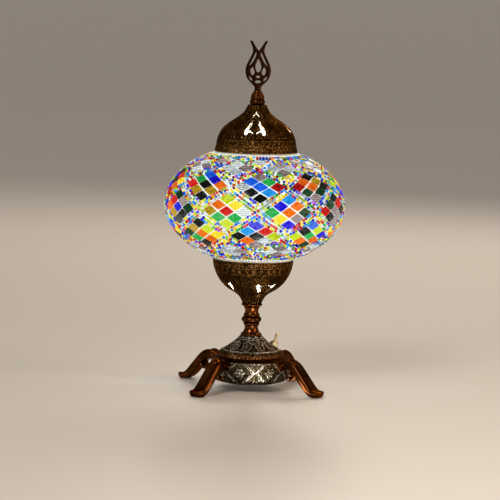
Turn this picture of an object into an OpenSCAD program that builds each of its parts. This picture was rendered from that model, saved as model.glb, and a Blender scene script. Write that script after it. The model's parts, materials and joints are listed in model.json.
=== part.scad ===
// Mosaic glass table lamp: a flattened glass globe between a pierced cap and a pierced bowl,
// on a turned stem and a domed base with four cast feet, a tulip finial on top.
// Millimetres, +Z up, origin on the table under the middle of the base.

/* [Globe] */
// Radius of the glass globe at its widest, under the mosaic
glass_a = 88; // [86:0.5:89]
// Half height of the full glass spheroid
glass_b = 57; // [56:0.5:58]
// Wall of the blown glass
glass_wall = 2; // [1.5:0.5:2.5]
// Height of the globe's middle above the table
globe_z = 185.8; // [185.6:0.1:186]
// Radius of the round openings at the top and bottom of the glass
mouth_r = 38.5; // [38.3:0.1:38.6]

/* [Mosaic] */
// Thickness of the whole mosaic layer
mosaic_t = 2.4; // [2.2:0.1:2.6]
// Long diagonal of one diamond tile with its share of grout
tile_w = 17.2; // [16.4:0.2:17.4]
// Short diagonal of one diamond tile with its share of grout
tile_h = 11.5; // [11.2:0.1:11.6]
// Part of each diagonal that is glass, and the rest is grout
tile_fill = 0.9; // [0.82:0.02:0.9]
// Clusters of tiles in one row round the globe
clusters = 9; // [9:1:9]
// Distance between rows of clusters along the glass
row_pitch = 24.2; // [24:0.1:24.6]
// Latitude of the middle row of clusters, in degrees of the ellipse
middle_lat = 0.3; // [-0.5:0.1:1]
// Azimuth of the first cluster in the upper row
upper_az = -93.8; // [-100:0.2:-90]
// Azimuth of the first cluster in the middle row
middle_az = -75; // [-80:0.2:-70]
// Azimuth of the first cluster in the lower row
lower_az = -95.6; // [-100:0.2:-90]

/* [Metal shells] */
// Wall of the spun brass cap and bowl
shell_wall = 1.5; // [1.2:0.1:1.6]
// Wall of the base dome and drum
base_wall = 1.6; // [1.4:0.1:1.8]
// Number of pierced motifs round the cap and round the bowl
motifs = 4; // [4:1:4]
// Azimuth of the first pierced motif in the cap
cap_motif_az = -100; // [-108:1:-90]
// Azimuth of the first pierced motif in the bowl
bowl_motif_az = -70; // [-76:1:-62]

/* [Stem] */
// Height of the middle of the stem's bead
stem_mid = 69.9; // [69.9:0.1:69.9]
// Height of the bead
bead_h = 6.5; // [6.5:0.1:6.5]
// Height of each spool
spool_h = 12.95; // [12.95:0.05:12.95]
// Outer radius of the threaded tube
tube_r = 5; // [5:0.5:5]
// Radius of the threaded tube's bore
tube_bore = 3.5; // [3.4:0.1:3.6]

/* [Base] */
// Number of cast feet
feet = 4; // [4:1:4]
// Width of a foot across its two ridges
foot_w = 16; // [14.5:0.5:16.5]
// Height of the cord inlet's axis
inlet_z = 20; // [19.5:0.5:20.5]
// Radius of the cord inlet's hole
inlet_r = 3.2; // [3:0.1:3.3]

/* [Switch] */
// Azimuth of the toggle switch on the dome
switch_az = 3; // [0:1:6]
// Lean of the switch's bushing outward from vertical
switch_tilt = 30; // [29:1:31]
// Swing of the lever either side of the bushing's axis
lever_swing = 14; // [12:0.5:14]

/* [Finial] */
// Thickness of the flat tulip casting
tulip_t = 3.2; // [2.8:0.2:3.6]
// Azimuth that the tulip's flat face looks towards
tulip_az = -97; // [-110:1:-80]

/* [Hidden] */
$fn = 96;
slack = 0.05;
fit = 0.15;
globe_top = globe_z + 53.4;
globe_bottom = globe_z - 54.6;
cap_top = 286.1;
dome_top = 53.7;
bowl_foot = stem_mid + bead_h / 2 + spool_h;
bowl_floor = 91.2;
saddle_z = 109;
strip_t = 1.6;
strip_w = 8;
harp_half = 29;
harp_top = 262.2;
harp_low_r = 8;
harp_high_r = 16;
stud_r = 3;
socket_r = 14;
socket_z = saddle_z + strip_t;
socket_shell_z = socket_z + 7.2;
socket_top = 148.8;
contact_z = 123.8;
bulb_tip_z = 125.8;
bulb_r = 22.5;
bulb_z = bulb_tip_z + 75 - bulb_r;
drum_top = 30.1;
drum_foot = 8;
tube_foot = drum_foot - 3.25;
tube_top = saddle_z + strip_t + 3.8;
plate_t = 1.5;
plate_r = 27.2;
foot_screw_z = 24.6;
switch_r = 23;
switch_h = 42.95;
lever_pivot = 2;
lever_len = 12.4;
wire_r = 1;
wire_sides = 8;

// ---- Curves and outlines ----

// A smooth curve through control points, with n steps between neighbours (Catmull-Rom).
function spline_point(a, b, c, d, u) =
    0.5 * (2 * b + (c - a) * u + (2 * a - 5 * b + 4 * c - d) * u * u
    + (3 * b - a - 3 * c + d) * u * u * u);
function smooth(p, n) =
    let (m = len(p) - 1)
    concat(
        [for (i = [0 : m - 1], k = [0 : n - 1])
            spline_point(p[max(i - 1, 0)], p[i], p[i + 1], p[min(i + 2, m)], k / n)],
        [p[m]]);
function reversed(p) = [for (i = [len(p) - 1 : -1 : 0]) p[i]];

// A path moved sideways by t, to its left where t is positive.
function beside(p, t) =
    [for (i = [0 : len(p) - 1])
        let (d = p[min(i + 1, len(p) - 1)] - p[max(i - 1, 0)])
        [p[i][0] - t * d[1] / norm(d), p[i][1] + t * d[0] / norm(d)]];
// The closed outline of a wall between a path and the same path moved sideways.
function wall(p, t) = concat(p, reversed(beside(p, t)));
function mirrored(p, axis) = [for (q = reversed(p)) [q[0], 2 * axis - q[1]]];
function arc(cx, cy, r, from, to, n) =
    [for (i = [0 : n]) let (a = from + (to - from) * i / n) [cx + r * cos(a), cy + r * sin(a)]];

module ring(r_out, r_in, h) {
    difference() {
        cylinder(r = r_out, h = h);
        translate([0, 0, -1]) cylinder(r = r_in, h = h + 2);
    }
}
module hex_nut(across, bore, h) {
    difference() {
        cylinder(d = across / cos(30), h = h, $fn = 6);
        translate([0, 0, -1]) cylinder(r = bore, h = h + 2);
    }
}

// ---- Globe and mosaic ----

function ellipse_at(d, t) = [(glass_a + d) * cos(t), globe_z + (glass_b + d) * sin(t)];
function mouth_lat(d) = acos(mouth_r / (glass_a + d));
function ellipse_path(d, from, to, n) =
    [for (i = [0 : n]) ellipse_at(d, from + (to - from) * i / n)];
// Millimetres along the glass for one radian of latitude.
function lat_scale(t) = norm([glass_a * sin(t), glass_b * cos(t)]);
function to_deg(x) = x * 180 / PI;
// The latitude reached from t0 after s millimetres along the glass, northward.
function lat_after(t0, s) = t0 + to_deg(s / lat_scale(t0 + to_deg(s / 2 / lat_scale(t0))));
// The elevation of the glass's outward normal at a latitude.
function normal_el(t) = atan2(glass_a * sin(t), glass_b * cos(t));

band = 3.4;
bed_t = 0.75;
band_t = mosaic_t - 0.3;
function band_lat(t) = lat_after(t, t > 0 ? -band : band);

module glass_globe() {
    outer = ellipse_path(0, -mouth_lat(0), mouth_lat(0), 40);
    inner = ellipse_path(-glass_wall, -mouth_lat(-glass_wall), mouth_lat(-glass_wall), 40);
    color("white", 0.45) rotate_extrude() polygon(concat(outer, reversed(inner)));
}

// The white grout, with a thicker smooth band round each mouth.
module grout_bed() {
    top = acos(41.2 / glass_a);
    low = -acos(40.4 / glass_a);
    under = ellipse_path(slack, low, top, 40);
    over = concat(
        [ellipse_at(band_t, low), ellipse_at(band_t, band_lat(low))],
        ellipse_path(bed_t, lat_after(low, band + 1), lat_after(top, -band - 1), 40),
        [ellipse_at(band_t, band_lat(top)), ellipse_at(band_t, top)]);
    color("white") rotate_extrude() polygon(concat(over, reversed(under)));
}

module tile(az, t) {
    half_w = tile_w * tile_fill / 2;
    half_h = tile_h * tile_fill / 2;
    p = ellipse_at(0, t);
    rotate([0, 0, az]) translate([p[0], 0, p[1]]) rotate([0, -normal_el(t), 0])
        translate([bed_t + 0.03, 0, 0]) rotate([90, 0, 90])
            linear_extrude(mosaic_t - bed_t - 0.03)
                polygon([[-half_w, 0], [0, -half_h], [half_w, 0], [0, half_h]]);
}

// The tile colours of each cluster, three rows of three read from the cluster's top corner
// down to its right corner. R red, O orange, G gold, Y yellow, L lime, E green, K dark green,
// S sky, B blue, C cobalt, M smoke, N black, W clear.
upper_row = ["MERBBSWNN", "NGNOOKRKM", "GOSEYOLBC", "YRKSOEMCL", "BNGLREKSO", "OECYNRBGM",
    "RSLGKCNOY", "NRYCNOLCR", "BCOENGRGN"];
middle_row = ["SOKCOMEYC", "NRNKMMRNM", "LBOYCRGES", "KGRSNYOBL", "CEMRLGNSO", "YKBOESRMC",
    "GNLCORKYE", "KMKRCNOGN", "LYWOREGEL"];
lower_row = ["CRLSNWNOM", "BLCNEOLOK", "RYKGSCOEN", "LOBKRGCYM", "SNEYBOMRC", "GKRLOEBNS",
    "OCYNGLERK", "SBYBRNLCO", "NLYGOOKEN"];
field_row = ["MWWM", "WMMW", "WWMM", "MWMW", "WMWM", "MMWW", "MWWM", "WMMW", "WMWW"];
single_row = ["W", "M", "W", "W", "M", "W", "M", "W", "M"];

// One row of clusters; side is the number of tiles along a cluster's edge.
module tile_row(patterns, side, lat0, az0, letter) {
    for (i = [0 : clusters - 1], n = [0 : side * side - 1]) {
        down_right = n % side;
        down_left = floor(n / side);
        lat = lat_after(lat0, (side - 1 - down_right - down_left) * tile_h / 2);
        across = (down_right - down_left) * tile_w / 2;
        turn = to_deg(across / (glass_a * cos(lat)));
        if (patterns[i][n] == letter)
            tile(az0 + i * 360 / clusters + turn, lat);
    }
}
module tiles(letter) {
    half_step = 180 / clusters;
    upper_lat = lat_after(middle_lat, row_pitch);
    lower_lat = lat_after(middle_lat, -row_pitch);
    tile_row(upper_row, 3, upper_lat, upper_az, letter);
    tile_row(middle_row, 3, middle_lat, middle_az, letter);
    tile_row(lower_row, 3, lower_lat, lower_az, letter);
    tile_row(field_row, 2, lat_after(upper_lat, row_pitch - 1), upper_az + half_step, letter);
    tile_row(field_row, 2, lat_after(lower_lat, 1.2 - row_pitch), lower_az + half_step, letter);
    tile_row(single_row, 1, lat_after(upper_lat, row_pitch + 9.4), upper_az, letter);
}
module tiles_red() { color("red") tiles("R"); }
module tiles_orange() { color("darkorange") tiles("O"); }
module tiles_gold() { color("goldenrod") tiles("G"); }
module tiles_yellow() { color("yellow") tiles("Y"); }
module tiles_lime() { color("yellowgreen") tiles("L"); }
module tiles_green() { color("mediumseagreen") tiles("E"); }
module tiles_dark_green() { color("darkgreen") tiles("K"); }
module tiles_sky() { color("deepskyblue") tiles("S"); }
module tiles_blue() { color("dodgerblue") tiles("B"); }
module tiles_cobalt() { color("mediumblue") tiles("C"); }
module tiles_smoke() { color("rosybrown") tiles("M"); }
module tiles_black() { color("darkslategray") tiles("N"); }
module tiles_clear() { color("lightcyan") tiles("W"); }

// Soft wedge rings between the ground edges of the glass and the metal.
module cap_gasket() {
    far = acos(40.9 / (glass_a + slack));
    seat = ellipse_path(slack, mouth_lat(slack), far, 6);
    color("ivory") rotate_extrude()
        polygon(concat(seat, [[40.9, globe_top - slack], [mouth_r, globe_top - slack]]));
}
module bowl_gasket() {
    far = -acos(40.1 / (glass_a + slack));
    seat = ellipse_path(slack, far, -mouth_lat(slack), 6);
    color("ivory") rotate_extrude()
        polygon(concat([[mouth_r, globe_bottom + slack], [40.1, globe_bottom + slack]], seat));
}

// ---- Cap and bowl ----

cap_curve = concat([[41.6, globe_top]], smooth([[41.6, globe_top + 0.5], [40.4, 243.8], [39.6, 249.3],
    [38.1, 254.8], [34.4, 261.3], [28, 267.4], [18.6, 273.8], [13.7, 278], [11.2, 281.8],
    [9.1, cap_top]], 3));
bowl_curve = concat(smooth([[9.5, bowl_foot], [10.4, 88.4], [12, 91.3], [14.4, 94.4], [18.6, 97.6],
    [24.9, 101.3], [30.4, 106.2], [34.4, 111.5], [37.7, 117.8], [39.7, 124.2],
    [40.4, globe_bottom - 0.5]], 3), [[40.4, globe_bottom]]);

// One pierced wing beside a motif's stem, and its mirror image is the other.
wing = [[1.8, 1.7], [2.1, 4], [5, 5.4], [5.3, 7.4], [2.7, 10.7], [3.3, 12.7], [2.6, 15.5],
    [7.3, 9.3], [10.3, 4.7], [9.7, 0], [6, 3.4]];
chevron = [[0, 23.2], [3.7, 18.2], [2.9, 17.6], [0, 20.7], [-2.9, 17.6], [-3.7, 18.2]];
drop = [[0, 17.2], [1.1, 18.8], [0, 20.6], [-1.1, 18.8]];

module pierce(outline, near) {
    translate([near, 0, 0]) rotate([90, 0, 90]) linear_extrude(50) polygon(outline);
}
module wings(near) {
    pierce(wing, near);
    mirror([0, 1, 0]) pierce(wing, near);
}

module top_cap() {
    color("saddlebrown") difference() {
        union() {
            rotate_extrude() polygon(wall(cap_curve, shell_wall));
            translate([0, 0, globe_top]) ring(40.8, 38.8, shell_wall);
            translate([0, 0, cap_top - 3]) ring(9, stud_r + 0.4, 3);
        }
        for (i = [0 : motifs - 1]) rotate([0, 0, cap_motif_az + i * 360 / motifs])
            translate([0, 0, 257]) {
                wings(8);
                pierce(chevron, 8);
            }
    }
}

module lower_bowl() {
    color("saddlebrown") difference() {
        union() {
            rotate_extrude() polygon(wall(bowl_curve, shell_wall));
            translate([0, 0, globe_bottom - shell_wall]) ring(39.6, 38.2, shell_wall);
            translate([0, 0, bowl_foot]) ring(9.2, tube_r + 0.25, bowl_floor - bowl_foot);
        }
        for (i = [0 : motifs - 1]) rotate([0, 0, bowl_motif_az + i * 360 / motifs])
            translate([0, 0, 109.5]) mirror([0, 0, 1]) scale([1.05, 1.05, 0.78]) {
                wings(10);
                pierce(drop, 9);
            }
    }
}

// ---- Finial ----

tulip_half = smooth([[3.5, 303.8], [7.7, 308.4], [11.2, 312.8], [12.75, 319.2], [11.8, 325.3],
    [8.6, 332.2], [6, 338.2], [6.4, 343.6], [8.8, 348.9], [7.6, 349.8]], 4);
tulip_notch = smooth([[6.4, 349.5], [3.7, 345.1], [1.7, 342], [0, 339.8]], 3);
tulip_side = smooth([[2.5, 338.8], [3.3, 336.8], [5.4, 332.4], [9.2, 324.4]], 4);
tulip_side_back = smooth([[9.2, 324.4], [6.6, 327.2], [3.7, 332.2], [2.2, 336.2]], 4);
tulip_oval = smooth([[0, 332], [2.7, 325.4], [2.2, 320.4], [0, 318]], 4);
tulip_almond = smooth([[5.6, 323.7], [7.7, 320.2], [6.1, 315.4], [3.6, 317.8], [5.6, 323.7]], 4);
tulip_slit = smooth([[9, 314.6], [8.4, 311.9], [5.9, 309.8], [6.1, 311.6], [9, 314.6]], 3);

function flipped(p) = [for (q = reversed(p)) [-q[0], q[1]]];

module tulip_outline() {
    difference() {
        union() {
            polygon(concat(tulip_half, tulip_notch, flipped(concat(tulip_half, tulip_notch))));
            translate([-3.5, 299.8]) square([7, 5]);
        }
        polygon(concat(tulip_oval, flipped(tulip_oval)));
        for (side = [0, 1]) mirror([side, 0]) {
            polygon(concat(tulip_side, tulip_side_back));
            polygon(tulip_almond);
            polygon(tulip_slit);
        }
        polygon([for (a = [0 : 15 : 345]) [2 * cos(a), 313.9 + 1.2 * sin(a)]]);
        polygon([for (a = [0 : 15 : 345]) [3 * cos(a), 308.9 + 1.4 * sin(a)]]);
    }
}

module tulip_finial() {
    color("saddlebrown") rotate([0, 0, tulip_az]) {
        rotate([90, 0, 90]) translate([0, 0, -tulip_t / 2])
            linear_extrude(tulip_t) tulip_outline();
        translate([0, 0, 299.8]) cylinder(r = 3.4, h = 4.4);
    }
}

collar_rings = [[6.2, 286.2], [7.3, 287.3], [7.7, 289.1], [7.2, 290.8], [6.2, 291.6], [6.9, 291.9],
    [6.9, 293.7], [6.2, 293.9], [6.5, 294.2], [6.3, 295.7], [5.7, 295.9], [5.9, 296.2],
    [5.4, 297.5], [4.6, 297.8], [4, 299.75]];

// The turned collar, with a blind threaded hole for the stud.
module finial_collar() {
    color("peru") difference() {
        rotate_extrude() polygon(concat([[0, 286.2]], collar_rings, [[0, 299.75]]));
        translate([0, 0, 285.8]) cylinder(r = stud_r + 0.1, h = 11.6);
    }
}

// ---- Harp, socket and bulb ----

module strip_bend(r, from) {
    rotate([90, 0, 0]) translate([0, 0, -strip_w / 2]) rotate([0, 0, from])
        rotate_extrude(angle = 90) translate([r, 0]) square([strip_t, strip_w]);
}

// A flat steel strip bent round the bulb, drilled at its saddle and at its top.
module harp_frame() {
    low_x = harp_half - harp_low_r;
    high_x = harp_half - harp_high_r;
    arm_from = saddle_z + strip_t + harp_low_r;
    arm_to = harp_top - harp_high_r;
    color("lightgray") difference() {
        union() {
            translate([-low_x, -strip_w / 2, saddle_z]) cube([2 * low_x, strip_w, strip_t]);
            translate([-high_x, -strip_w / 2, harp_top]) cube([2 * high_x, strip_w, strip_t]);
            translate([0, 0, saddle_z]) cylinder(r = 9, h = strip_t);
            for (side = [0, 1]) mirror([side, 0, 0]) {
                translate([low_x, 0, arm_from]) strip_bend(harp_low_r, -90);
                translate([high_x, 0, arm_to]) strip_bend(harp_high_r, 0);
                translate([harp_half, -strip_w / 2, arm_from])
                    cube([strip_t, strip_w, arm_to - arm_from]);
            }
        }
        translate([0, 0, saddle_z - 1]) cylinder(r = tube_r + 0.25, h = strip_t + 2);
        translate([0, 0, harp_top - 1]) cylinder(r = stud_r + fit, h = strip_t + 2);
    }
}
module harp_stud() {
    color("gainsboro") translate([0, 0, harp_top - 6]) cylinder(r = stud_r, h = 296.8 - harp_top + 6);
}
module stud_nuts() {
    color("gainsboro") for (z = [harp_top - 5 - slack, harp_top + strip_t + slack])
        translate([0, 0, z]) hex_nut(10, stud_r + slack, 5);
}

// Blown bulb outline: neck, flare and ball, given for the outer or the inner face.
function bulb_outline(d) =
    concat([[6.6 - d, 146], [7.4 - d, 149.8]],
        arc(0, bulb_z, bulb_r - d, -62, 90, 24));

module bulb_glass() {
    color("white", 0.5) rotate_extrude() polygon(concat(bulb_outline(0), reversed(bulb_outline(0.7))));
}
module bulb_stem() {
    color("white", 0.6) rotate_extrude()
        polygon([[0, 146], [5.2, 146], [4, 149.8], [2, 153.8], [1.4, 167.8], [2.2, 169.8], [0, 169.8]]);
}
module bulb_filaments() {
    color("gold") for (a = [45 : 90 : 315]) rotate([0, 0, a])
        translate([5, 0, 166.8]) rotate([0, 14, 0]) cylinder(r = 0.9, h = 22);
}
module bulb_base() {
    color("silver") rotate_extrude()
        polygon([[3.4, 127.9], [5.6, 129.4], [6.85, 130.8], [6.85, 144.8], [6.3, 145.95], [3.4, 145.95]]);
}
module bulb_tip() {
    color("dimgray") rotate_extrude()
        polygon([[0, bulb_tip_z], [2.2, bulb_tip_z], [3, 126.4], [3, 127], [5.2, 128.7], [3.35, 127.85],
            [3.35, 129.8], [0, 129.8]]);
}

module socket_cup() {
    color("dimgray") translate([0, 0, socket_z + slack]) difference() {
        cylinder(r = socket_r, h = 7.1);
        translate([0, 0, -1]) cylinder(r = tube_r + slack, h = 4.8);
        cylinder(r = tube_bore + 0.3, h = 9);
        translate([0, 0, 5]) cylinder(r = 11.5, h = 4);
    }
}
module socket_shell() {
    color("dimgray") translate([0, 0, socket_shell_z]) ring(socket_r, 12.4, socket_top - socket_shell_z);
}
module socket_insert() {
    color("whitesmoke") translate([0, 0, contact_z - 3.8]) cylinder(r = 12.3, h = 3.75);
}
module socket_thread() {
    color("goldenrod") translate([0, 0, contact_z]) ring(7.6, 7, socket_top - contact_z - 1);
}
module socket_contact() {
    color("goldenrod") translate([0, 0, contact_z]) cylinder(r = 2.4, h = 1.9);
}

// ---- Stem ----

lower_spool_curve = [[7.9, 53.7], [10.2, 54], [10.6, 54.9], [10, 56], [8, 57.9], [6.9, 60.2],
    [6.7, 61.9], [7.2, 63.7], [7.7, 64.3], [8.2, 65.1], [8.2, 65.9], [7.7, 66.65]];

module turned(outline) {
    near = tube_r + 0.25;
    rotate_extrude() polygon(concat([[near, outline[0][1]]], outline,
        [[near, outline[len(outline) - 1][1]]]));
}
module lower_spool() { color("peru") turned(lower_spool_curve); }
module upper_spool() { color("peru") turned(mirrored(lower_spool_curve, stem_mid)); }
module stem_bead() {
    low = stem_mid - bead_h / 2 + slack;
    color("peru") turned(smooth([[7.6, low], [9.4, stem_mid - 2.2], [10.1, stem_mid], [9.4, stem_mid + 2.2],
        [7.6, 2 * stem_mid - low]], 4));
}

// The tube clamps base, stem and bowl together; two cross holes let the wires in.
module threaded_tube() {
    color("silver") difference() {
        translate([0, 0, tube_foot]) ring(tube_r, tube_bore, tube_top - tube_foot);
        translate([0, 0, 20.8]) rotate([0, 90, 0]) cylinder(r = 2.2, h = 9);
        translate([0, 0, 15.6]) rotate([-90, 0, 0]) cylinder(r = 2.2, h = 9);
    }
}
module tube_nuts() {
    color("goldenrod") {
        translate([0, 0, tube_foot + 0.2]) hex_nut(15, tube_r + slack, 2.4);
        translate([0, 0, saddle_z - 4 - slack]) hex_nut(15, tube_r + slack, 3.6);
        translate([0, 0, bowl_floor + 0.9]) hex_nut(14, tube_r + slack, 4);
    }
}
module tube_washers() {
    color("silver") {
        translate([0, 0, tube_foot + 2.65]) ring(10, tube_r + fit, 1);
        translate([0, 0, bowl_floor + slack]) ring(8.8, tube_r + fit, 0.8);
    }
}

// ---- Base ----

dome_curve = concat(
    [[39.2, drum_top], [39.2, drum_top + 0.5]],
    smooth([[38.9, 31], [35, 31.7], [32.6, 33.4], [31.7, 35.8], [31.2, 37.6]], 3),
    smooth([[30.4, 38.5], [27, 40.3], [23.2, 42.7], [19.6, 45.1], [16.9, 47.4], [14.4, 49.7],
        [12.2, 51.9], [10.8, dome_top]], 2));
drum_curve = smooth([[26.6, drum_foot], [30.6, drum_foot], [34.2, 8.4], [37, 9.8], [39, 12.6],
    [39.7, 17], [39.8, 23], [39.5, 27.6], [38.6, drum_top - slack]], 4);

module at_switch() {
    rotate([0, 0, switch_az]) translate([switch_r, 0, switch_h]) rotate([0, switch_tilt, 0])
        children();
}

module base_dome() {
    color("darkgoldenrod") difference() {
        union() {
            rotate_extrude() polygon(wall(dome_curve, base_wall));
            translate([0, 0, dome_top - 3]) ring(10.6, tube_r + 0.25, 3);
        }
        translate([0, 0, drum_top - 5]) cylinder(r = 45, h = 5);
        at_switch() translate([0, 0, -4]) cylinder(r = 3.25, h = 8);
    }
}

module at_foot_screw() {
    translate([0, 0, foot_screw_z]) rotate([0, 90, 0]) children();
}
module base_drum() {
    color("gray") difference() {
        union() {
            rotate_extrude() polygon(wall(drum_curve, base_wall));
            translate([0, 0, drum_foot]) ring(26.8, 23, base_wall);
        }
        for (i = [0 : feet - 1]) rotate([0, 0, 45 + i * 360 / feet])
            at_foot_screw() translate([0, 0, 30]) cylinder(r = 2.2, h = 15);
        translate([0, 0, inlet_z]) rotate([-90, 0, 0]) cylinder(r = 5, h = 50);
    }
}
// The plate that closes the drum, dished so that its nut stays above the drum's foot.
module base_plate() {
    dish = 2;
    color("dimgray") translate([0, 0, drum_foot - slack]) rotate_extrude()
        polygon([[tube_r + 0.25, dish - plate_t], [18.6, dish - plate_t], [20.6, -plate_t],
            [plate_r, -plate_t], [plate_r, 0], [21.4, 0], [19.4, dish], [tube_r + 0.25, dish]]);
}

// A foot's middle line from root to toe, as radius, height and half thickness.
foot_line = smooth([[34, 24, 4.6], [43, 27, 4.8], [50, 29.4, 4.7], [56.6, 27.2, 4.2], [62.8, 21.2, 4],
    [68.8, 14.6, 3.9], [74.6, 8.4, 3.7], [79.6, 4.4, 3.4], [84, 3.3, 3.3]], 3);
function foot_edge(share) =
    [for (i = [0 : len(foot_line) - 1])
        let (d = foot_line[min(i + 1, len(foot_line) - 1)] - foot_line[max(i - 1, 0)],
            s = share * foot_line[i][2] / norm([d[0], d[1]]))
        [foot_line[i][0] - s * d[1], foot_line[i][1] + s * d[0]]];
function foot_outline(share) =
    concat(foot_edge(share), reversed(foot_edge(-share)));

module foot_slab(width, share) {
    rotate([90, 0, 0]) translate([0, 0, -width / 2]) linear_extrude(width)
        polygon(foot_outline(share));
}

// One roll of the scroll under a foot's knee, across its width.
module foot_roll(x, z, r) {
    translate([x, foot_w / 2 - 0.4, z]) rotate([90, 0, 0]) cylinder(r = r, h = foot_w - 0.8);
}
// The scroll under a foot's knee: a bar that curls in from the leg, with a roll at its end.
module foot_scroll() {
    hull() {
        foot_roll(60.8, 18.6, 2);
        foot_roll(57, 15.4, 1.4);
    }
    hull() {
        foot_roll(57, 15.4, 1.4);
        foot_roll(53, 15.2, 1.6);
    }
    foot_roll(52.8, 16, 2.3);
}

// A cast foot along +X: a narrow root, two ridges with a channel between them, a scroll and a toe.
module foot() {
    ridges_from = 45;
    color("peru") difference() {
        union() {
            intersection() {
                for (side = [-1, 1]) translate([0, side * (foot_w - 4) / 2, 0]) foot_slab(4, 1);
                translate([ridges_from, -foot_w, 0]) cube([60, 2 * foot_w, 60]);
            }
            intersection() {
                foot_slab(foot_w - 6, 1);
                translate([0, -foot_w, 0]) cube([ridges_from + 2, 2 * foot_w, 60]);
            }
            foot_slab(foot_w - 5, 0.7);
            translate([81, 0, 0]) cylinder(d = foot_w, h = 6.4);
            foot_scroll();
        }
        rotate_extrude() polygon(concat([[0, drum_foot]], beside(drum_curve, -slack), [[0, drum_top]]));
        translate([0, 0, drum_top - 1]) cylinder(r = 39.6, h = 20);
        translate([0, 0, -10]) cylinder(r = 100, h = 10);
        at_foot_screw() translate([0, 0, 30]) cylinder(r = 2.1, h = 14.6);
    }
}
module foot_at(az) { rotate([0, 0, az]) foot(); }
module foot_front_left() { foot_at(225); }
module foot_front_right() { foot_at(315); }
module foot_rear_right() { foot_at(45); }
module foot_rear_left() { foot_at(135); }

module foot_screws() {
    color("silver") for (i = [0 : feet - 1]) rotate([0, 0, 45 + i * 360 / feet]) at_foot_screw() {
        translate([0, 0, 37]) cylinder(r = 2, h = 7.2);
        translate([0, 0, 34.8]) cylinder(r = 3.6, h = 2.6);
    }
}

// ---- Switch ----

module switch_body() {
    color("black") at_switch() difference() {
        translate([-4, -6.4, -12.2]) cube([8, 12.8, 9]);
        translate([0, 0, -4.6]) cylinder(r = 3.05, h = 3);
    }
}
module switch_bushing() {
    color("khaki") at_switch() difference() {
        translate([0, 0, -4.55]) cylinder(r = 3, h = 10);
        translate([0, 0, -1]) cylinder(r = 2.3, h = 8);
    }
}
module switch_nut() {
    color("khaki") at_switch() {
        translate([0, 0, 0.4]) ring(5, 3 + slack, 0.55);
        translate([0, 0, 1]) hex_nut(8, 3 + slack, 2);
    }
}
module switch_lever() {
    color("khaki") at_switch() translate([0, 0, lever_pivot]) rotate([0, -lever_swing, 0]) {
        sphere(r = 1.7);
        translate([0, -2.1, 0]) rotate([-90, 0, 0]) cylinder(r = 0.8, h = 4.2);
        cylinder(r1 = 1.1, r2 = 1.6, h = lever_len - 1.6);
        translate([0, 0, lever_len - 1.6]) sphere(r = 1.6);
    }
}
module switch_terminals() {
    color("silver") at_switch() for (y = [-4.7, 0, 4.7])
        translate([-0.4, y - 1, -15.6]) cube([0.8, 2, 3.35]);
}

// ---- Cord inlet and wiring ----

module cord_grommet() {
    color("black") translate([0, 34.6, inlet_z]) rotate([-90, 0, 0]) difference() {
        union() {
            cylinder(r = 4.9, h = 7.6);
            translate([0, 0, 5.4]) cylinder(r = 6.6, h = 2.2);
        }
        translate([0, 0, -1]) cylinder(r = inlet_r, h = 12);
    }
}
module terminal_block() {
    color("ivory") difference() {
        translate([-9, 12.6, drum_foot + 2]) cube([18, 9, 8.6]);
        for (x = [-6, 0, 6]) translate([x, 11, 14.6]) rotate([-90, 0, 0]) cylinder(r = 1.4, h = 12);
    }
}

live_route = [[6, 13.5, 14.6], [6, 11.5, 14.6], [8, 9.8, 17.2], [12, 8.6, 21.5], [14.6, 7.2, 25.2],
    [14.9, 5.9, 28.7]];
switched_route = [[15.3, -4, 28.7], [14, -3.2, 25.6], [11.4, -1.7, 23], [8, -0.6, 21.4], [5, 0, 20.8],
    [2.6, -0.4, 22.2], [1.5, -0.8, 25.8], [1.5, -0.8, 60], [1.5, -0.8, 90], [1.5, -0.8, 119.6]];
neutral_route = [[-6, 13.5, 14.6], [-6, 11.4, 14.6], [-4.4, 10, 15], [-1.6, 9.2, 15.6], [-0.2, 7.4, 15.6],
    [0, 4.4, 15.8], [-1, 1.6, 17.6], [-1.5, 0.8, 21.6], [-1.5, 0.8, 60], [-1.5, 0.8, 90],
    [-1.5, 0.8, 119.6]];

function unit(v) = v / norm(v);
// A round wire swept along a route, as one polyhedron.
module wire(route) {
    path = smooth(route, 4);
    last = len(path) - 1;
    n = wire_sides;
    points = [for (i = [0 : last])
        let (d = unit(path[min(i + 1, last)] - path[max(i - 1, 0)]),
            side = unit(cross(d, [0.3, 1, 0.2])),
            up = cross(side, d))
        for (k = [0 : n - 1]) path[i] + wire_r * (cos(360 * k / n) * side + sin(360 * k / n) * up)];
    faces = concat(
        [[for (k = [0 : n - 1]) k]],
        [for (i = [0 : last - 1], k = [0 : n - 1])
            [i * n + k, (i + 1) * n + k, (i + 1) * n + (k + 1) % n, i * n + (k + 1) % n]],
        [[for (k = [n - 1 : -1 : 0]) last * n + k]]);
    polyhedron(points, faces);
}
module live_wire() { color("sienna") wire(live_route); }
module switched_wire() { color("sienna") wire(switched_route); }
module neutral_wire() { color("royalblue") wire(neutral_route); }

tulip_finial();
finial_collar();
top_cap();
cap_gasket();
glass_globe();
grout_bed();
tiles_red();
tiles_orange();
tiles_gold();
tiles_yellow();
tiles_lime();
tiles_green();
tiles_dark_green();
tiles_sky();
tiles_blue();
tiles_cobalt();
tiles_smoke();
tiles_black();
tiles_clear();
bowl_gasket();
lower_bowl();
harp_frame();
harp_stud();
stud_nuts();
bulb_glass();
bulb_stem();
bulb_filaments();
bulb_base();
bulb_tip();
socket_cup();
socket_shell();
socket_insert();
socket_thread();
socket_contact();
threaded_tube();
tube_nuts();
tube_washers();
upper_spool();
stem_bead();
lower_spool();
base_dome();
base_drum();
base_plate();
foot_front_left();
foot_front_right();
foot_rear_right();
foot_rear_left();
foot_screws();
switch_body();
switch_bushing();
switch_nut();
switch_lever();
switch_terminals();
cord_grommet();
terminal_block();
live_wire();
switched_wire();
neutral_wire();
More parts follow.
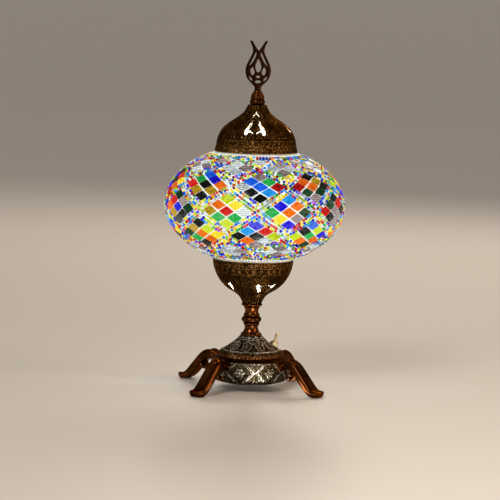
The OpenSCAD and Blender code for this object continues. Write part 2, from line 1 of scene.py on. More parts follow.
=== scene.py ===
import json
import math
import random

import bmesh
import bpy
import numpy as np
from mathutils import Matrix, Vector


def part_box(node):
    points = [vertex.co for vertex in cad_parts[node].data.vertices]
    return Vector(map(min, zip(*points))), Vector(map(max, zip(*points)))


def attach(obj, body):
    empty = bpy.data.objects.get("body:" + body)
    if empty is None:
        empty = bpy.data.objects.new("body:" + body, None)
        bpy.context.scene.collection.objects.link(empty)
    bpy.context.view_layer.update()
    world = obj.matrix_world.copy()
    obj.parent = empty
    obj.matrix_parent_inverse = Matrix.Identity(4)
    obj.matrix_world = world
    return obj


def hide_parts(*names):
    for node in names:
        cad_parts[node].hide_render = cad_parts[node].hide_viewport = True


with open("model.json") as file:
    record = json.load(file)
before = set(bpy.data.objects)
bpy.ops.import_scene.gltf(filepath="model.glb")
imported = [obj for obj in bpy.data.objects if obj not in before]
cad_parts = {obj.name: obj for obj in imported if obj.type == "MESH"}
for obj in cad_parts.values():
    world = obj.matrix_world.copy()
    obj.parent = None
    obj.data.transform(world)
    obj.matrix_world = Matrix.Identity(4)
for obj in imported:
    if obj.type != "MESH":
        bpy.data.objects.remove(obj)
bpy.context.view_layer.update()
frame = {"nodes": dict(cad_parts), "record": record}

# Lengths in this script are millimetres, in the frame of the part, until a mesh is made.
MM = 0.001
NODES = frame["nodes"]


def cad_mm(node):
    """A CAD node's lowest and highest corners, in millimetres."""
    low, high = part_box(node)
    return low / MM, high / MM


# ---- Curves and outlines ----

def smooth(points, steps):
    """A smooth curve through control points (Catmull-Rom), as an array."""
    p = np.array(points, float)
    last = len(p) - 1
    out = []
    for i in range(last):
        a, b, c, d = p[max(i - 1, 0)], p[i], p[i + 1], p[min(i + 2, last)]
        for u in np.arange(steps) / steps:
            out.append(0.5 * (2 * b + (c - a) * u + (2 * a - 5 * b + 4 * c - d) * u * u
                              + (3 * b - a - 3 * c + d) * u ** 3))
    out.append(p[last])
    return np.array(out)


def evenly(path, step):
    """A path with points at an even spacing of about step."""
    path = np.array(path, float)
    run = np.concatenate([[0], np.cumsum(np.linalg.norm(np.diff(path, axis=0), axis=1))])
    count = max(2, int(round(run[-1] / step)) + 1)
    at = np.linspace(0, run[-1], count)
    return np.stack([np.interp(at, run, path[:, k]) for k in range(path.shape[1])], 1)


def left_normals(path):
    """Unit normals on the left of a flat path."""
    d = np.gradient(path, axis=0)
    d /= np.linalg.norm(d, axis=1)[:, None]
    return np.stack([-d[:, 1], d[:, 0]], 1)


def resampled(path, rows):
    """A path with the given number of points, evenly spaced."""
    length = np.linalg.norm(np.diff(path, axis=0), axis=1).sum()
    return evenly(path, length / (rows - 1))


def outward_normals(path):
    """Unit normals of a shell's path of radius and height, away from its axis."""
    normal = left_normals(path)
    return -normal if normal[:, 0].sum() < 0 else normal


def around(count):
    """Angles evenly round a full turn."""
    return np.linspace(0, 2 * np.pi, count, endpoint=False)


def ellipse(cx, cy, rx, ry, count):
    """An ellipse as a closed outline."""
    a = around(count)
    return np.stack([cx + rx * np.cos(a), cy + ry * np.sin(a)], 1)


def flipped(outline):
    """An outline mirrored left to right, still going the same way round."""
    return (outline * (-1, 1))[::-1]


def fade(x, start, width):
    """0 at start and 1 at start + width, with a straight line between."""
    return np.clip((x - start) / width, 0, 1)


# ---- Meshes ----

def linked(name, data):
    """An object of the scene that holds a mesh, a light or a camera."""
    made = bpy.data.objects.new(name, data)
    bpy.context.scene.collection.objects.link(made)
    return made


def add_piece(mesh, body, slot, replaces=(), look=None):
    """A smooth piece from a mesh that rides on a body and may stand for CAD nodes.
    Its look is its slot's own, unless another is named."""
    mesh.polygons.foreach_set("use_smooth", [True] * len(mesh.polygons))
    mesh.materials.append(LOOKS[look or slot])
    piece = linked(mesh.name, mesh)
    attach(piece, body)
    if replaces:
        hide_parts(*replaces)
    return piece


def add_mesh(name, verts, faces, body, slot, replaces=(), look=None, tone=None):
    """A piece from vertices in millimetres, with a tone for each of them if any are given."""
    mesh = bpy.data.meshes.new(name)
    mesh.from_pydata((np.array(verts, float) * MM).tolist(), [], [list(f) for f in faces])
    mesh.update()
    if tone is not None:
        layer = mesh.attributes.new("tone", "FLOAT", "POINT")
        layer.data.foreach_set("value", np.array(tone, np.float32))
    return add_piece(mesh, body, slot, replaces, look)


def ring_faces(rows, segments, closed):
    """Quads of a grid of rows that goes round; closed joins the last row to the first."""
    r = np.arange(rows if closed else rows - 1)[:, None]
    s = np.arange(segments)[None, :]
    here, over = r * segments, ((r + 1) % rows) * segments
    step = (s + 1) % segments
    return np.stack([here + s, here + step, over + step, over + s], -1).reshape(-1, 4)


def turn_points(radius, z, azimuth):
    """Points from radius, height and azimuth, which may be arrays that broadcast."""
    grid = np.broadcast_arrays(radius * np.cos(azimuth), radius * np.sin(azimuth), z)
    return np.stack(grid, -1).reshape(-1, 3)


def joined(parts):
    """One list of vertices and one of faces from several pairs of them."""
    verts, faces, start = [], [], 0
    for part_verts, part_faces in parts:
        verts.append(part_verts)
        faces += [[i + start for i in face] for face in part_faces]
        start += len(part_verts)
    return np.concatenate(verts), faces


def loft(rings):
    """A closed skin over a row of rings, capped at both ends."""
    count = len(rings[0])
    last = (len(rings) - 1) * count
    faces = ring_faces(len(rings), count, False).tolist()
    faces += [list(range(count))[::-1], list(range(last, last + count))]
    return np.concatenate(rings), faces


def turned(name, outline, body, slot, replaces, segments=96):
    """A closed outline of radius and height, turned round Z."""
    outline = np.array(outline, float)
    verts = turn_points(outline[:, :1], outline[:, 1:], around(segments))
    add_mesh(name, verts, ring_faces(len(outline), segments, True), body, slot, replaces)


# ---- Node materials ----

class Graph:
    """A material's node graph, built one node at a time."""

    def __init__(self, name):
        self.material = bpy.data.materials.new(name)
        self.material.use_nodes = True
        self.tree = self.material.node_tree
        self.tree.nodes.clear()

    def node(self, kind, inputs=None, **settings):
        """A node with its settings, and its inputs as values or as sockets to link."""
        made = self.tree.nodes.new(kind)
        for key, value in settings.items():
            setattr(made, key, value)
        for key, value in (inputs or {}).items():
            socket = made.inputs[key]
            if isinstance(value, bpy.types.NodeSocket):
                self.tree.links.new(value, socket)
            elif socket.type == "RGBA" and len(value) == 3:
                socket.default_value = (*value, 1)
            else:
                socket.default_value = value
        return made

    def noise(self, scale, detail, rough):
        place = self.node("ShaderNodeTexCoord").outputs["Object"]
        made = self.node("ShaderNodeTexNoise", {"Vector": place, "Scale": scale, "Detail": detail,
                                                "Roughness": rough})
        return made.outputs["Fac"]

    def ramp(self, fac, stops):
        """A colour ramp; stops are (place, colour)."""
        made = self.node("ShaderNodeValToRGB", {"Fac": fac})
        ramp = made.color_ramp
        while len(ramp.elements) < len(stops):
            ramp.elements.new(0.5)
        for element, (place, colour) in zip(ramp.elements, stops):
            element.position = place
            element.color = (*colour, 1)
        return made.outputs["Color"]

    def spread(self, value, low, high, to_low, to_high):
        """A value carried from one range to another, and held at its ends."""
        made = self.node("ShaderNodeMapRange", {"Value": value, "From Min": low, "From Max": high,
                                                "To Min": to_low, "To Max": to_high})
        return made.outputs["Result"]

    def math(self, operation, a, b):
        return self.node("ShaderNodeMath", {0: a, 1: b}, operation=operation).outputs[0]

    def mix(self, fac, a, b):
        """A mix of two colours; the sockets are the colour mix's own factor, A, B and result."""
        made = self.node("ShaderNodeMix", {0: fac, 6: a, 7: b}, data_type="RGBA")
        return made.outputs[2]

    def bump(self, height, distance, strength, normal=None):
        inputs = {"Height": height, "Distance": distance, "Strength": strength}
        if normal:
            inputs["Normal"] = normal
        return self.node("ShaderNodeBump", inputs).outputs["Normal"]

    def attribute(self, name):
        return self.node("ShaderNodeAttribute", attribute_name=name).outputs["Fac"]

    def finish(self, **inputs):
        """Ends the graph with a Principled shader; keys use _ for spaces."""
        shader = self.node("ShaderNodeBsdfPrincipled",
                           {k.replace("_", " "): v for k, v in inputs.items()})
        self.node("ShaderNodeOutputMaterial", {"Surface": shader.outputs["BSDF"]})
        return self.material


# The tint of a metal seen at a glancing angle: of dark bronze, and of a bright metal.
BRONZE_EDGE = (0.52, 0.45, 0.40)
PLAIN_EDGE = (1, 1, 1)


def engraved_metal(name, deep, high, glint, rough_low, rough_high):
    """Patinated metal: dark in its engraving, worn bright on its ridges (attribute tone).
    A tone over 1 gives the inside of a shell a pale colour: its raw metal, painted brighter still
    as the bulb's light falling on it."""
    g = Graph(name)
    tone = g.attribute("tone")
    cloud = g.noise(90, 4, 0.6)
    grain = g.noise(1400, 3, 0.6)
    foliage = g.spread(g.noise(560, 3, 0.75), 0.42, 0.6, -0.2, 0.2)
    worn = g.math("ADD", g.math("MULTIPLY", tone, 0.62), g.spread(cloud, 0.3, 0.7, -0.12, 0.12))
    worn = g.math("ADD", worn, foliage)
    # The last, palest stop is the inside of a shell: raw metal with painted light from the bulb.
    colour = g.ramp(worn, [(0.12, deep), (0.38, high), (0.66, glint), (0.95, (0.92, 0.9, 0.86))])
    colour = g.mix(g.spread(grain, 0.35, 0.7, 0, 0.3), colour, deep)
    rough = g.math("ADD", g.spread(worn, 0.15, 0.6, rough_high, rough_low),
                   g.spread(grain, 0.3, 0.7, -0.05, 0.05))
    normal = g.bump(grain, 0.1 * MM, 0.5, g.bump(foliage, 1.2 * MM, 0.5))
    return g.finish(Base_Color=colour, Metallic=1.0, Roughness=rough, Normal=normal,
                    Specular_Tint=BRONZE_EDGE)


def polished_metal(name, dark, light, rough, scale=200, edge=PLAIN_EDGE):
    """Cast or turned metal, polished, with soft clouds of patina and fine scratches."""
    g = Graph(name)
    cloud = g.noise(scale, 4, 0.55)
    fine = g.noise(900, 3, 0.6)
    colour = g.ramp(cloud, [(0.3, dark), (0.62, light)])
    roughness = g.math("ADD", g.spread(cloud, 0.3, 0.7, rough * 1.5, rough * 0.8),
                       g.spread(fine, 0.3, 0.7, -0.03, 0.05))
    normal = g.bump(fine, 0.05 * MM, 0.5, g.bump(cloud, 0.3 * MM, 0.4))
    return g.finish(Base_Color=colour, Metallic=1.0, Roughness=roughness, Normal=normal,
                    Specular_Tint=edge)


def moulded(name, dark, light, rough, scale=500, bump_mm=0.04):
    """Plastic, rubber or paint with a fine moulded grain."""
    g = Graph(name)
    grain = g.noise(scale, 4, 0.6)
    cloud = g.noise(40, 2, 0.5)
    colour = g.ramp(cloud, [(0.35, dark), (0.65, light)])
    roughness = g.spread(grain, 0.3, 0.7, rough * 0.85, min(1, rough * 1.2))
    return g.finish(Base_Color=colour, Roughness=roughness,
                    Normal=g.bump(grain, bump_mm * MM, 0.6))


# How strongly the glass glows with a painted glow for the bulb's light through it, and the spacing
# of the ribs painted in its clear and smoke tiles.
GLOW = 0.92
RIB_STEP = 1.9


def lit_glass(name, deep, bright, flecks=0.0, ribbed=False):
    """Stained glass lit from inside: hammered, mottled, with a painted glow in its own colours for
    the bulb's light.
    """
    g = Graph(name)
    tone = g.attribute("tone")
    mottled = g.noise(420, 3, 0.65)
    drift = g.math("ADD", g.spread(mottled, 0.3, 0.7, -0.3, 0.3), tone)
    pale = tuple(min(1, 0.85 * c + 0.1) for c in bright)
    colour = g.ramp(drift, [(0.1, deep), (0.6, bright), (1.0, pale)])
    if flecks:
        colour = g.mix(g.spread(g.noise(900, 2, 0.7), 0.6, 0.68, 0, flecks), colour, deep)
    # The ribs are only painted: darker stripes in the colour, a painted shade of their grooves.
    if ribbed:
        place = g.node("ShaderNodeTexCoord").outputs["Object"]
        height = g.node("ShaderNodeSeparateXYZ", {"Vector": place}).outputs["Z"]
        ribs = g.math("SINE", g.math("MULTIPLY", height, 2 * math.pi / (RIB_STEP * MM)), 0.0)
        colour = g.mix(g.spread(ribs, -0.2, 0.8, 0, 0.75), colour, deep)
    surface = g.mix(0.85, colour, (0.0, 0.0, 0.0))
    normal = g.bump(mottled, 0.35 * MM, 0.5)
    # Emission: painted light, the glass's glow standing in for the bulb shining through it.
    return g.finish(Base_Color=surface, Roughness=0.12, Normal=normal, Emission_Color=colour,
                    Emission_Strength=GLOW, Specular_IOR_Level=0.12)


# Glass colours, each from its deepest to its brightest, in linear light.
GLASS = {
    "red": ((0.16, 0.002, 0.002), (0.70, 0.012, 0.008)),
    "orange": ((0.50, 0.07, 0.002), (0.95, 0.19, 0.006)),
    "gold": ((0.16, 0.09, 0.002), (0.52, 0.34, 0.012)),
    "yellow": ((0.60, 0.38, 0.006), (0.98, 0.78, 0.03)),
    "lime": ((0.24, 0.36, 0.002), (0.62, 0.78, 0.012)),
    "green": ((0.002, 0.14, 0.02), (0.02, 0.46, 0.08)),
    "dark_green": ((0.001, 0.010, 0.003), (0.002, 0.055, 0.014)),
    "sky": ((0.002, 0.13, 0.48), (0.02, 0.36, 0.90)),
    "blue": ((0.001, 0.03, 0.36), (0.006, 0.13, 0.82)),
    "cobalt": ((0.001, 0.001, 0.20), (0.01, 0.006, 0.72)),
    "smoke": ((0.13, 0.10, 0.095), (0.44, 0.36, 0.35)),
    "black": ((0.001, 0.001, 0.0008), (0.007, 0.009, 0.006)),
    "clear": ((0.22, 0.27, 0.28), (0.90, 0.98, 0.98)),
    "violet": ((0.12, 0.01, 0.30), (0.40, 0.08, 0.78)),
}
# Every look; most go by the name of the material slot that has them.
LOOKS = {"tile_" + key: lit_glass("glass_" + key, deep, bright, 0.0 if key == "clear" else 0.5,
                                  key in ("clear", "smoke"))
         for key, (deep, bright) in GLASS.items()}
for slot_name, *look in (
        ("engraved_bronze", (0.010, 0.005, 0.0012), (0.085, 0.038, 0.009), (0.36, 0.16, 0.035),
         0.34, 0.5),
        ("antique_silver", (0.012, 0.007, 0.003), (0.20, 0.155, 0.085), (0.80, 0.77, 0.70),
         0.2, 0.38),
        ("cavetto_bronze", (0.010, 0.004, 0.0012), (0.10, 0.036, 0.010), (0.40, 0.15, 0.03),
         0.25, 0.4)):
    LOOKS[slot_name] = engraved_metal(slot_name, *look)
for slot_name, *look in (
        ("copper_bronze", (0.016, 0.006, 0.002), (0.13, 0.039, 0.010), 0.13, 60, BRONZE_EDGE),
        ("tulip_bronze", (0.008, 0.003, 0.0015), (0.034, 0.012, 0.005), 0.24, 60, BRONZE_EDGE),
        ("zinc_steel", (0.42, 0.42, 0.40), (0.66, 0.66, 0.63), 0.28),
        ("yellow_brass", (0.55, 0.36, 0.12), (0.80, 0.58, 0.24), 0.25),
        ("pale_brass", (0.60, 0.46, 0.24), (0.88, 0.74, 0.46), 0.18, 300)):
    LOOKS[slot_name] = polished_metal(slot_name, *look)
for slot_name, *look in (
        ("black_plastic", (0.012, 0.012, 0.012), (0.025, 0.025, 0.024), 0.42),
        ("white_plastic", (0.66, 0.64, 0.58), (0.78, 0.77, 0.72), 0.35),
        ("soft_seal", (0.62, 0.58, 0.48), (0.76, 0.73, 0.64), 0.5),
        ("black_rubber", (0.01, 0.01, 0.01), (0.022, 0.022, 0.022), 0.7, 900, 0.08),
        ("painted_plate", (0.014, 0.014, 0.014), (0.03, 0.03, 0.03), 0.5, 700, 0.08),
        ("brown_wire", (0.09, 0.035, 0.014), (0.15, 0.065, 0.03), 0.4),
        ("blue_wire", (0.01, 0.05, 0.24), (0.02, 0.09, 0.36), 0.4)):
    LOOKS[slot_name] = moulded(slot_name, *look)


def grout_look():
    """Sandy white grout, with a painted glow for the bulb's light from inside."""
    g = Graph("white_grout")
    sand = g.noise(1500, 4, 0.7)
    cloud = g.noise(60, 3, 0.5)
    colour = g.ramp(cloud, [(0.3, (0.70, 0.79, 0.81)), (0.7, (0.84, 0.92, 0.93))])
    # Emission: a painted glow for the bulb's light through the grout.
    return g.finish(Base_Color=colour, Roughness=0.75, Emission_Color=colour,
                    Emission_Strength=0.42, Normal=g.bump(sand, 0.25 * MM, 0.7))


def clear_glass_look(name, tint, rough, glow=0.0):
    """Blown glass with soft waves."""
    g = Graph(name)
    waves = g.noise(30, 2, 0.4)
    colour = g.ramp(waves, [(0.3, tint), (0.7, tuple(min(1, c * 1.04) for c in tint))])
    return g.finish(Base_Color=colour, Roughness=rough, Transmission_Weight=1.0,
                    Normal=g.bump(waves, 0.4 * MM, 0.4), Emission_Color=(1, 0.9, 0.72),
                    Emission_Strength=glow)


def filament_look():
    """Glowing filaments."""
    g = Graph("filament_gold")
    beads = g.noise(2500, 2, 0.5)
    colour = g.ramp(beads, [(0.35, (1, 0.55, 0.16)), (0.65, (1, 0.83, 0.5))])
    return g.finish(Base_Color=colour, Roughness=0.6, Emission_Color=colour, Emission_Strength=40)


LOOKS["white_grout"] = grout_look()
LOOKS["clear_glass"] = clear_glass_look("clear_glass", (0.90, 0.95, 0.93), 0.05)
LOOKS["bulb_glass"] = clear_glass_look("bulb_glass", (0.97, 0.97, 0.95), 0.02, 0.6)
LOOKS["filament_gold"] = filament_look()


# ---- The mosaic globe ----

# The radius of the glass at its mouths, a tile's height over it and the cut of its corners.
MOUTH_R = 38.5
MOSAIC_T = 2.4
TILE_CORNER = 1.1
# The belt of painted light from the bulb: its height, half its width, its gain, and the painted
# shade that the rest loses.
BULB_Z = 176
BULB_REACH = 16
BULB_GAIN, REST_LOSS = 0.34, 0.08
glass_low, glass_high = cad_mm("glass_globe")
GLASS_A = glass_high.x
GLOBE_Z = (glass_low.z + glass_high.z) / 2
GLASS_B = (glass_high.z - glass_low.z) / 2 / math.sqrt(1 - (MOUTH_R / GLASS_A) ** 2)


def globe_point(lat, az, off):
    """A point at an offset from the glass; latitude is the ellipse's own parameter."""
    r = (GLASS_A + off) * np.cos(lat)
    z = GLOBE_Z + (GLASS_B + off) * np.sin(lat)
    return np.stack(np.broadcast_arrays(r * np.cos(az), r * np.sin(az), z), -1)


def globe_axes(lat, az):
    """The directions east, north and outward at a place on the glass."""
    north = np.array([-GLASS_A * math.sin(lat) * math.cos(az),
                      -GLASS_A * math.sin(lat) * math.sin(az), GLASS_B * math.cos(lat)])
    north /= np.linalg.norm(north)
    east = np.array([-math.sin(az), math.cos(az), 0])
    return east, north, np.cross(east, north)


def place_on_globe(p):
    """The latitude and azimuth of a point near the glass."""
    r = math.hypot(p[0], p[1])
    return math.atan2((p[2] - GLOBE_Z) / GLASS_B, r / GLASS_A), math.atan2(p[1], p[0])


def cad_tiles(node):
    """Each tile of a CAD node as its middle and its two half diagonals, from its outer face."""
    mesh = NODES[node].data
    co = np.array([v.co for v in mesh.vertices]) / MM
    keys = {}
    ids = [keys.setdefault(tuple(np.round(c, 2)), len(keys)) for c in co]
    points = np.array(list(keys), float)
    parent = list(range(len(points)))

    def find(i):
        while parent[i] != i:
            parent[i] = parent[parent[i]]
            i = parent[i]
        return i

    for polygon in mesh.polygons:
        first = find(ids[polygon.vertices[0]])
        for v in polygon.vertices[1:]:
            parent[find(ids[v])] = first
    groups = {}
    for i in range(len(points)):
        groups.setdefault(find(i), []).append(points[i])
    tiles = []
    for group in groups.values():
        corners = np.array(group)
        centre = corners.mean(0)
        lat, az = place_on_globe(centre)
        east, north, _ = globe_axes(lat, az)
        local = corners - centre
        tiles.append({"lat": lat, "az": az, "half_w": abs(local @ east).max(),
                      "half_h": abs(local @ north).max(), "colour": node[len("tiles_"):]})
    return tiles


def tile_mesh(tile, rng):
    """A cut tile with rounded corners, a rounded rim and a slightly domed top."""
    east, north, out = globe_axes(tile["lat"], tile["az"])
    middle = globe_point(tile["lat"], tile["az"], 0)
    turn = rng.uniform(-0.05, 0.05)
    tip = [rng.uniform(0.94, 1.05) for _ in range(4)]
    skew = rng.uniform(-0.02, 0.02), rng.uniform(-0.02, 0.02)
    corners = [np.array(c) for c in ((tile["half_w"] * tip[0], 0), (0, tile["half_h"] * tip[1]),
                                     (-tile["half_w"] * tip[2], 0), (0, -tile["half_h"] * tip[3]))]
    outline = []
    for i in range(4):
        before, here, after = corners[i - 1], corners[i], corners[(i + 1) % 4]
        start = here + (before - here) / np.linalg.norm(before - here) * TILE_CORNER
        end = here + (after - here) / np.linalg.norm(after - here) * TILE_CORNER
        for u in (0, 0.33, 0.67, 1):
            outline.append((1 - u) ** 2 * start + 2 * u * (1 - u) * here + u * u * end)
    outline = np.array(outline)
    spin = np.array([[math.cos(turn), -math.sin(turn)], [math.sin(turn), math.cos(turn)]])
    top = MOSAIC_T + rng.uniform(-0.15, 0.2)
    rings = [(1.0, 0.2), (1.0, top - 0.5), (0.975, top - 0.18), (0.93, top - 0.02),
             (0.6, top + 0.1)]
    verts = []
    for share, height in rings:
        flat = outline * share @ spin.T
        lift = height + flat @ np.array(skew) * (height > 1)
        verts.append(middle + flat[:, :1] * east + flat[:, 1:] * north + lift[:, None] * out)
    verts.append((middle + (top + 0.14) * out)[None])
    count = len(outline)
    last = (len(rings) - 1) * count
    faces = ring_faces(len(rings), count, False).tolist()
    faces += [[last + i, last + (i + 1) % count, last + count] for i in range(count)]
    faces.append(list(range(count))[::-1])
    return np.concatenate(verts), faces


def lamp_light(lat):
    """Painted light: how much brighter the mosaic is near the bulb's height, less a painted shade
    elsewhere.
    """
    height = GLOBE_Z + GLASS_B * math.sin(lat)
    return BULB_GAIN * math.exp(-((height - BULB_Z) / BULB_REACH) ** 2) - REST_LOSS


all_tiles = []
for tile_node in sorted(n for n in NODES if n.startswith("tiles_")):
    rng = random.Random(tile_node)
    parts, tones = [], []
    for tile in cad_tiles(tile_node):
        all_tiles.append(tile)
        parts.append(tile_mesh(tile, rng))
        # A tile's tone: random, plus painted light near the bulb and painted shade away from it.
        tone = rng.uniform(0.28, 0.62) + lamp_light(tile["lat"])
        tones += [tone] * len(parts[-1][0])
    tile_colour = tile_node[len("tiles_"):]
    add_mesh("mosaic_" + tile_node, *joined(parts), "globe", "tile_" + tile_colour, [tile_node],
             tone=tones)


# Beads lie in rows round each cluster of tiles, and smaller ones fill what is left.
BEAD_R = 1.45
BEAD_SIDES = 9
ROW_STEP = 2.95
CLUSTER_ROWS, MOUTH_ROWS = 3, 2
# The radii of the outermost rows of beads, at the top mouth and at the lower one.
BEADS_TOP_R, BEADS_LOW_R = 45.1, 45.4
# The least gap between two beads' middles, in the rows at the mouths and round the clusters.
MOUTH_GAP, CLUSTER_GAP = 2.8, 2.72
BEAD_MIX = {"red": 13, "orange": 6, "yellow": 15, "lime": 10, "cobalt": 11, "blue": 6, "sky": 11,
            "green": 8, "clear": 24, "violet": 2}
# How many tries at each size of bead, and how close it may come to other beads and to tiles.
BEAD_FILLS = ((16000, 2.6, 1.25, 1.0), (18000, 2.3, 1.1, 0.84), (20000, 1.95, 0.95, 0.68))
# The share of beads that keep the colour of the bead before.
SAME_COLOUR = 0.15
# A tile's width over its step in a cluster, and the longest step between two of its tiles.
TILE_FILL = 0.9
TILE_REACH = 12.5
TILE_MIDDLE = 1.3
# A mean radius of curvature of the glass, to find where a slope's middle lies.
SLOPE_R = 70
BEAD_CELL, TILE_CELL = 3, 16


def tile_clusters(tiles):
    """Groups of neighbouring tiles, each as its middle and the number of tiles along one side."""
    places = [globe_point(t["lat"], t["az"], 0) for t in tiles]
    left = set(range(len(tiles)))
    clusters = []
    while left:
        group, todo = [], [left.pop()]
        while todo:
            i = todo.pop()
            group.append(i)
            close = [k for k in left if np.linalg.norm(places[i] - places[k]) < TILE_REACH]
            left.difference_update(close)
            todo += close
        lat, az = place_on_globe(np.mean([places[i] for i in group], 0))
        clusters.append((lat, az, round(math.sqrt(len(group)))))
    return sorted(clusters)


class Packing:
    """Places taken by beads, in a grid of cells, and the tiles that beads stay off."""

    def __init__(self, tiles):
        self.beads = []
        self.cells = {}
        self.tiles = {}
        for tile in tiles:
            centre = globe_point(tile["lat"], tile["az"], TILE_MIDDLE)
            axes = globe_axes(tile["lat"], tile["az"])
            entry = (centre, axes[0], axes[1], tile["half_w"], tile["half_h"])
            self.tiles.setdefault(self.cell(centre, TILE_CELL), []).append(entry)

    @staticmethod
    def cell(p, size):
        return (int(p[0] // size), int(p[1] // size), int(p[2] // size))

    @staticmethod
    def near(cell):
        return [(cell[0] + i, cell[1] + j, cell[2] + k)
                for i in (-1, 0, 1) for j in (-1, 0, 1) for k in (-1, 0, 1)]

    def free(self, p, gap, clear):
        """Whether a bead at p keeps gap from other beads' middles and clear from every tile."""
        for c in self.near(self.cell(p, BEAD_CELL)):
            for q in self.cells.get(c, ()):
                if (p[0] - q[0]) ** 2 + (p[1] - q[1]) ** 2 + (p[2] - q[2]) ** 2 < gap * gap:
                    return False
        for c in self.near(self.cell(p, TILE_CELL)):
            for centre, east, north, half_w, half_h in self.tiles.get(c, ()):
                d = p - centre
                x, y = abs(float(d @ east)), abs(float(d @ north))
                slope = half_w * half_h / math.hypot(half_w, half_h)
                if (x / half_w + y / half_h - 1) * slope < clear:
                    return False
        return True

    def add(self, p, size, colour):
        self.cells.setdefault(self.cell(p, BEAD_CELL), []).append(p)
        self.beads.append((p, size, colour))


def fill_with_beads():
    """Beads as place, size and colour: rows at the mouths, rows round clusters, then a fill."""
    rng = random.Random(11)
    names, weights = list(BEAD_MIX), list(BEAD_MIX.values())
    packing = Packing(all_tiles)
    top = math.acos(BEADS_TOP_R / GLASS_A)
    low = -math.acos(BEADS_LOW_R / GLASS_A)
    half_w, half_h = all_tiles[0]["half_w"], all_tiles[0]["half_h"]
    side = math.hypot(half_w, half_h)
    colour = "red"

    def lay(lat, az, gap, clear, size=1.0):
        """A bead at a place, if it lies between the mouths and there is room."""
        nonlocal colour
        if not low <= lat <= top:
            return
        p = globe_point(lat, az, BEAD_R)
        if packing.free(p, gap, clear):
            if rng.random() > SAME_COLOUR:
                colour = rng.choices(names, weights)[0]
            packing.add(p, size, colour)

    for mouth in (top, low):
        for row in range(MOUTH_ROWS):
            scale = math.hypot(GLASS_A * math.sin(mouth), GLASS_B * math.cos(mouth))
            lat = mouth - math.copysign(0.001 + row * ROW_STEP / scale, mouth)
            count = int(2 * math.pi * GLASS_A * math.cos(lat) / (2 * BEAD_R + 0.1))
            for i in range(count):
                lay(lat, (i + row / 2) * 2 * math.pi / count, MOUTH_GAP, BEAD_R)
    clusters = tile_clusters(all_tiles)
    for ring in range(CLUSTER_ROWS):
        off = BEAD_R + 0.12 + ring * ROW_STEP
        for lat0, az0, tiles_wide in clusters:
            w = half_w * (1 + (tiles_wide - 1) / TILE_FILL) + off * side / half_h
            h = half_h * (1 + (tiles_wide - 1) / TILE_FILL) + off * side / half_w
            count = max(2, round(math.hypot(w, h) / 2.9))
            for sx, sy in ((1, 1), (-1, 1), (-1, -1), (1, -1)):
                for k in range(count):
                    u = (k + (0 if sx == sy else 1)) / count
                    y = sy * h * u
                    half_way = lat0 + y / (2 * SLOPE_R)
                    scale = math.hypot(GLASS_A * math.sin(half_way), GLASS_B * math.cos(half_way))
                    lat = lat0 + y / scale
                    az = az0 + sx * w * (1 - u) / (GLASS_A * math.cos(lat))
                    lay(lat, az, CLUSTER_GAP, BEAD_R - 0.2)
    for tries, gap, clear, size in BEAD_FILLS:
        for _ in range(tries):
            lat = rng.uniform(low, top)
            if rng.random() < math.cos(lat):
                lay(lat, rng.uniform(0, 2 * math.pi), gap, clear, size)
    return packing.beads


def bead_template():
    """A seed bead: a short round tube with a small hole, axis along Z."""
    profile = np.array([(0.35, -0.8), (1.0, -1.15), (BEAD_R, -0.6), (BEAD_R, 0.6), (1.0, 1.15),
                        (0.35, 0.8)])
    verts = turn_points(profile[:, :1], profile[:, 1:], around(BEAD_SIDES))
    return verts, ring_faces(len(profile), BEAD_SIDES, True)


def string_beads():
    """Makes the beads, one piece for each colour, some on end and some lying down."""
    template, quads = bead_template()
    rng = random.Random(5)
    groups = {}
    for p, size, colour in fill_with_beads():
        lat, az = place_on_globe(p)
        east, north, out = globe_axes(lat, az)
        spin = rng.uniform(0, math.pi)
        flat = math.cos(spin) * east + math.sin(spin) * north
        lean = rng.uniform(0, 0.5) if rng.random() < 0.55 else rng.uniform(1.2, math.pi / 2)
        axis = math.cos(lean) * out + math.sin(lean) * flat
        side = np.cross(axis, np.cross(flat, out))
        side /= np.linalg.norm(side)
        turn = np.stack([side, np.cross(axis, side), axis], 1)
        scale = size * rng.uniform(0.93, 1.06)
        # A bead's tone: random, plus the painted light and shade of the bulb's belt.
        tone = rng.uniform(-0.1, 0.8) + lamp_light(lat)
        groups.setdefault(colour, []).append((p, turn * scale, tone))
    for colour, beads in sorted(groups.items()):
        centres = np.array([b[0] for b in beads])
        turns = np.array([b[1] for b in beads])
        verts = np.einsum("nij,vj->nvi", turns, template) + centres[:, None, :]
        faces = quads[None] + (np.arange(len(beads)) * len(template))[:, None, None]
        tones = np.repeat([b[2] for b in beads], len(template))
        node_colour = "cobalt" if colour == "violet" else colour
        add_mesh("beads_" + colour, verts.reshape(-1, 3), faces.reshape(-1, 4), "globe",
                 "tile_" + node_colour, look="tile_" + colour, tone=tones)


string_beads()


# The grout ends at these radii, and has a thicker band this wide at each end.
GROUT_TOP_R, GROUT_LOW_R = 41.2, 40.4
GROUT_T = 1.1
MOUTH_BAND = 3.5


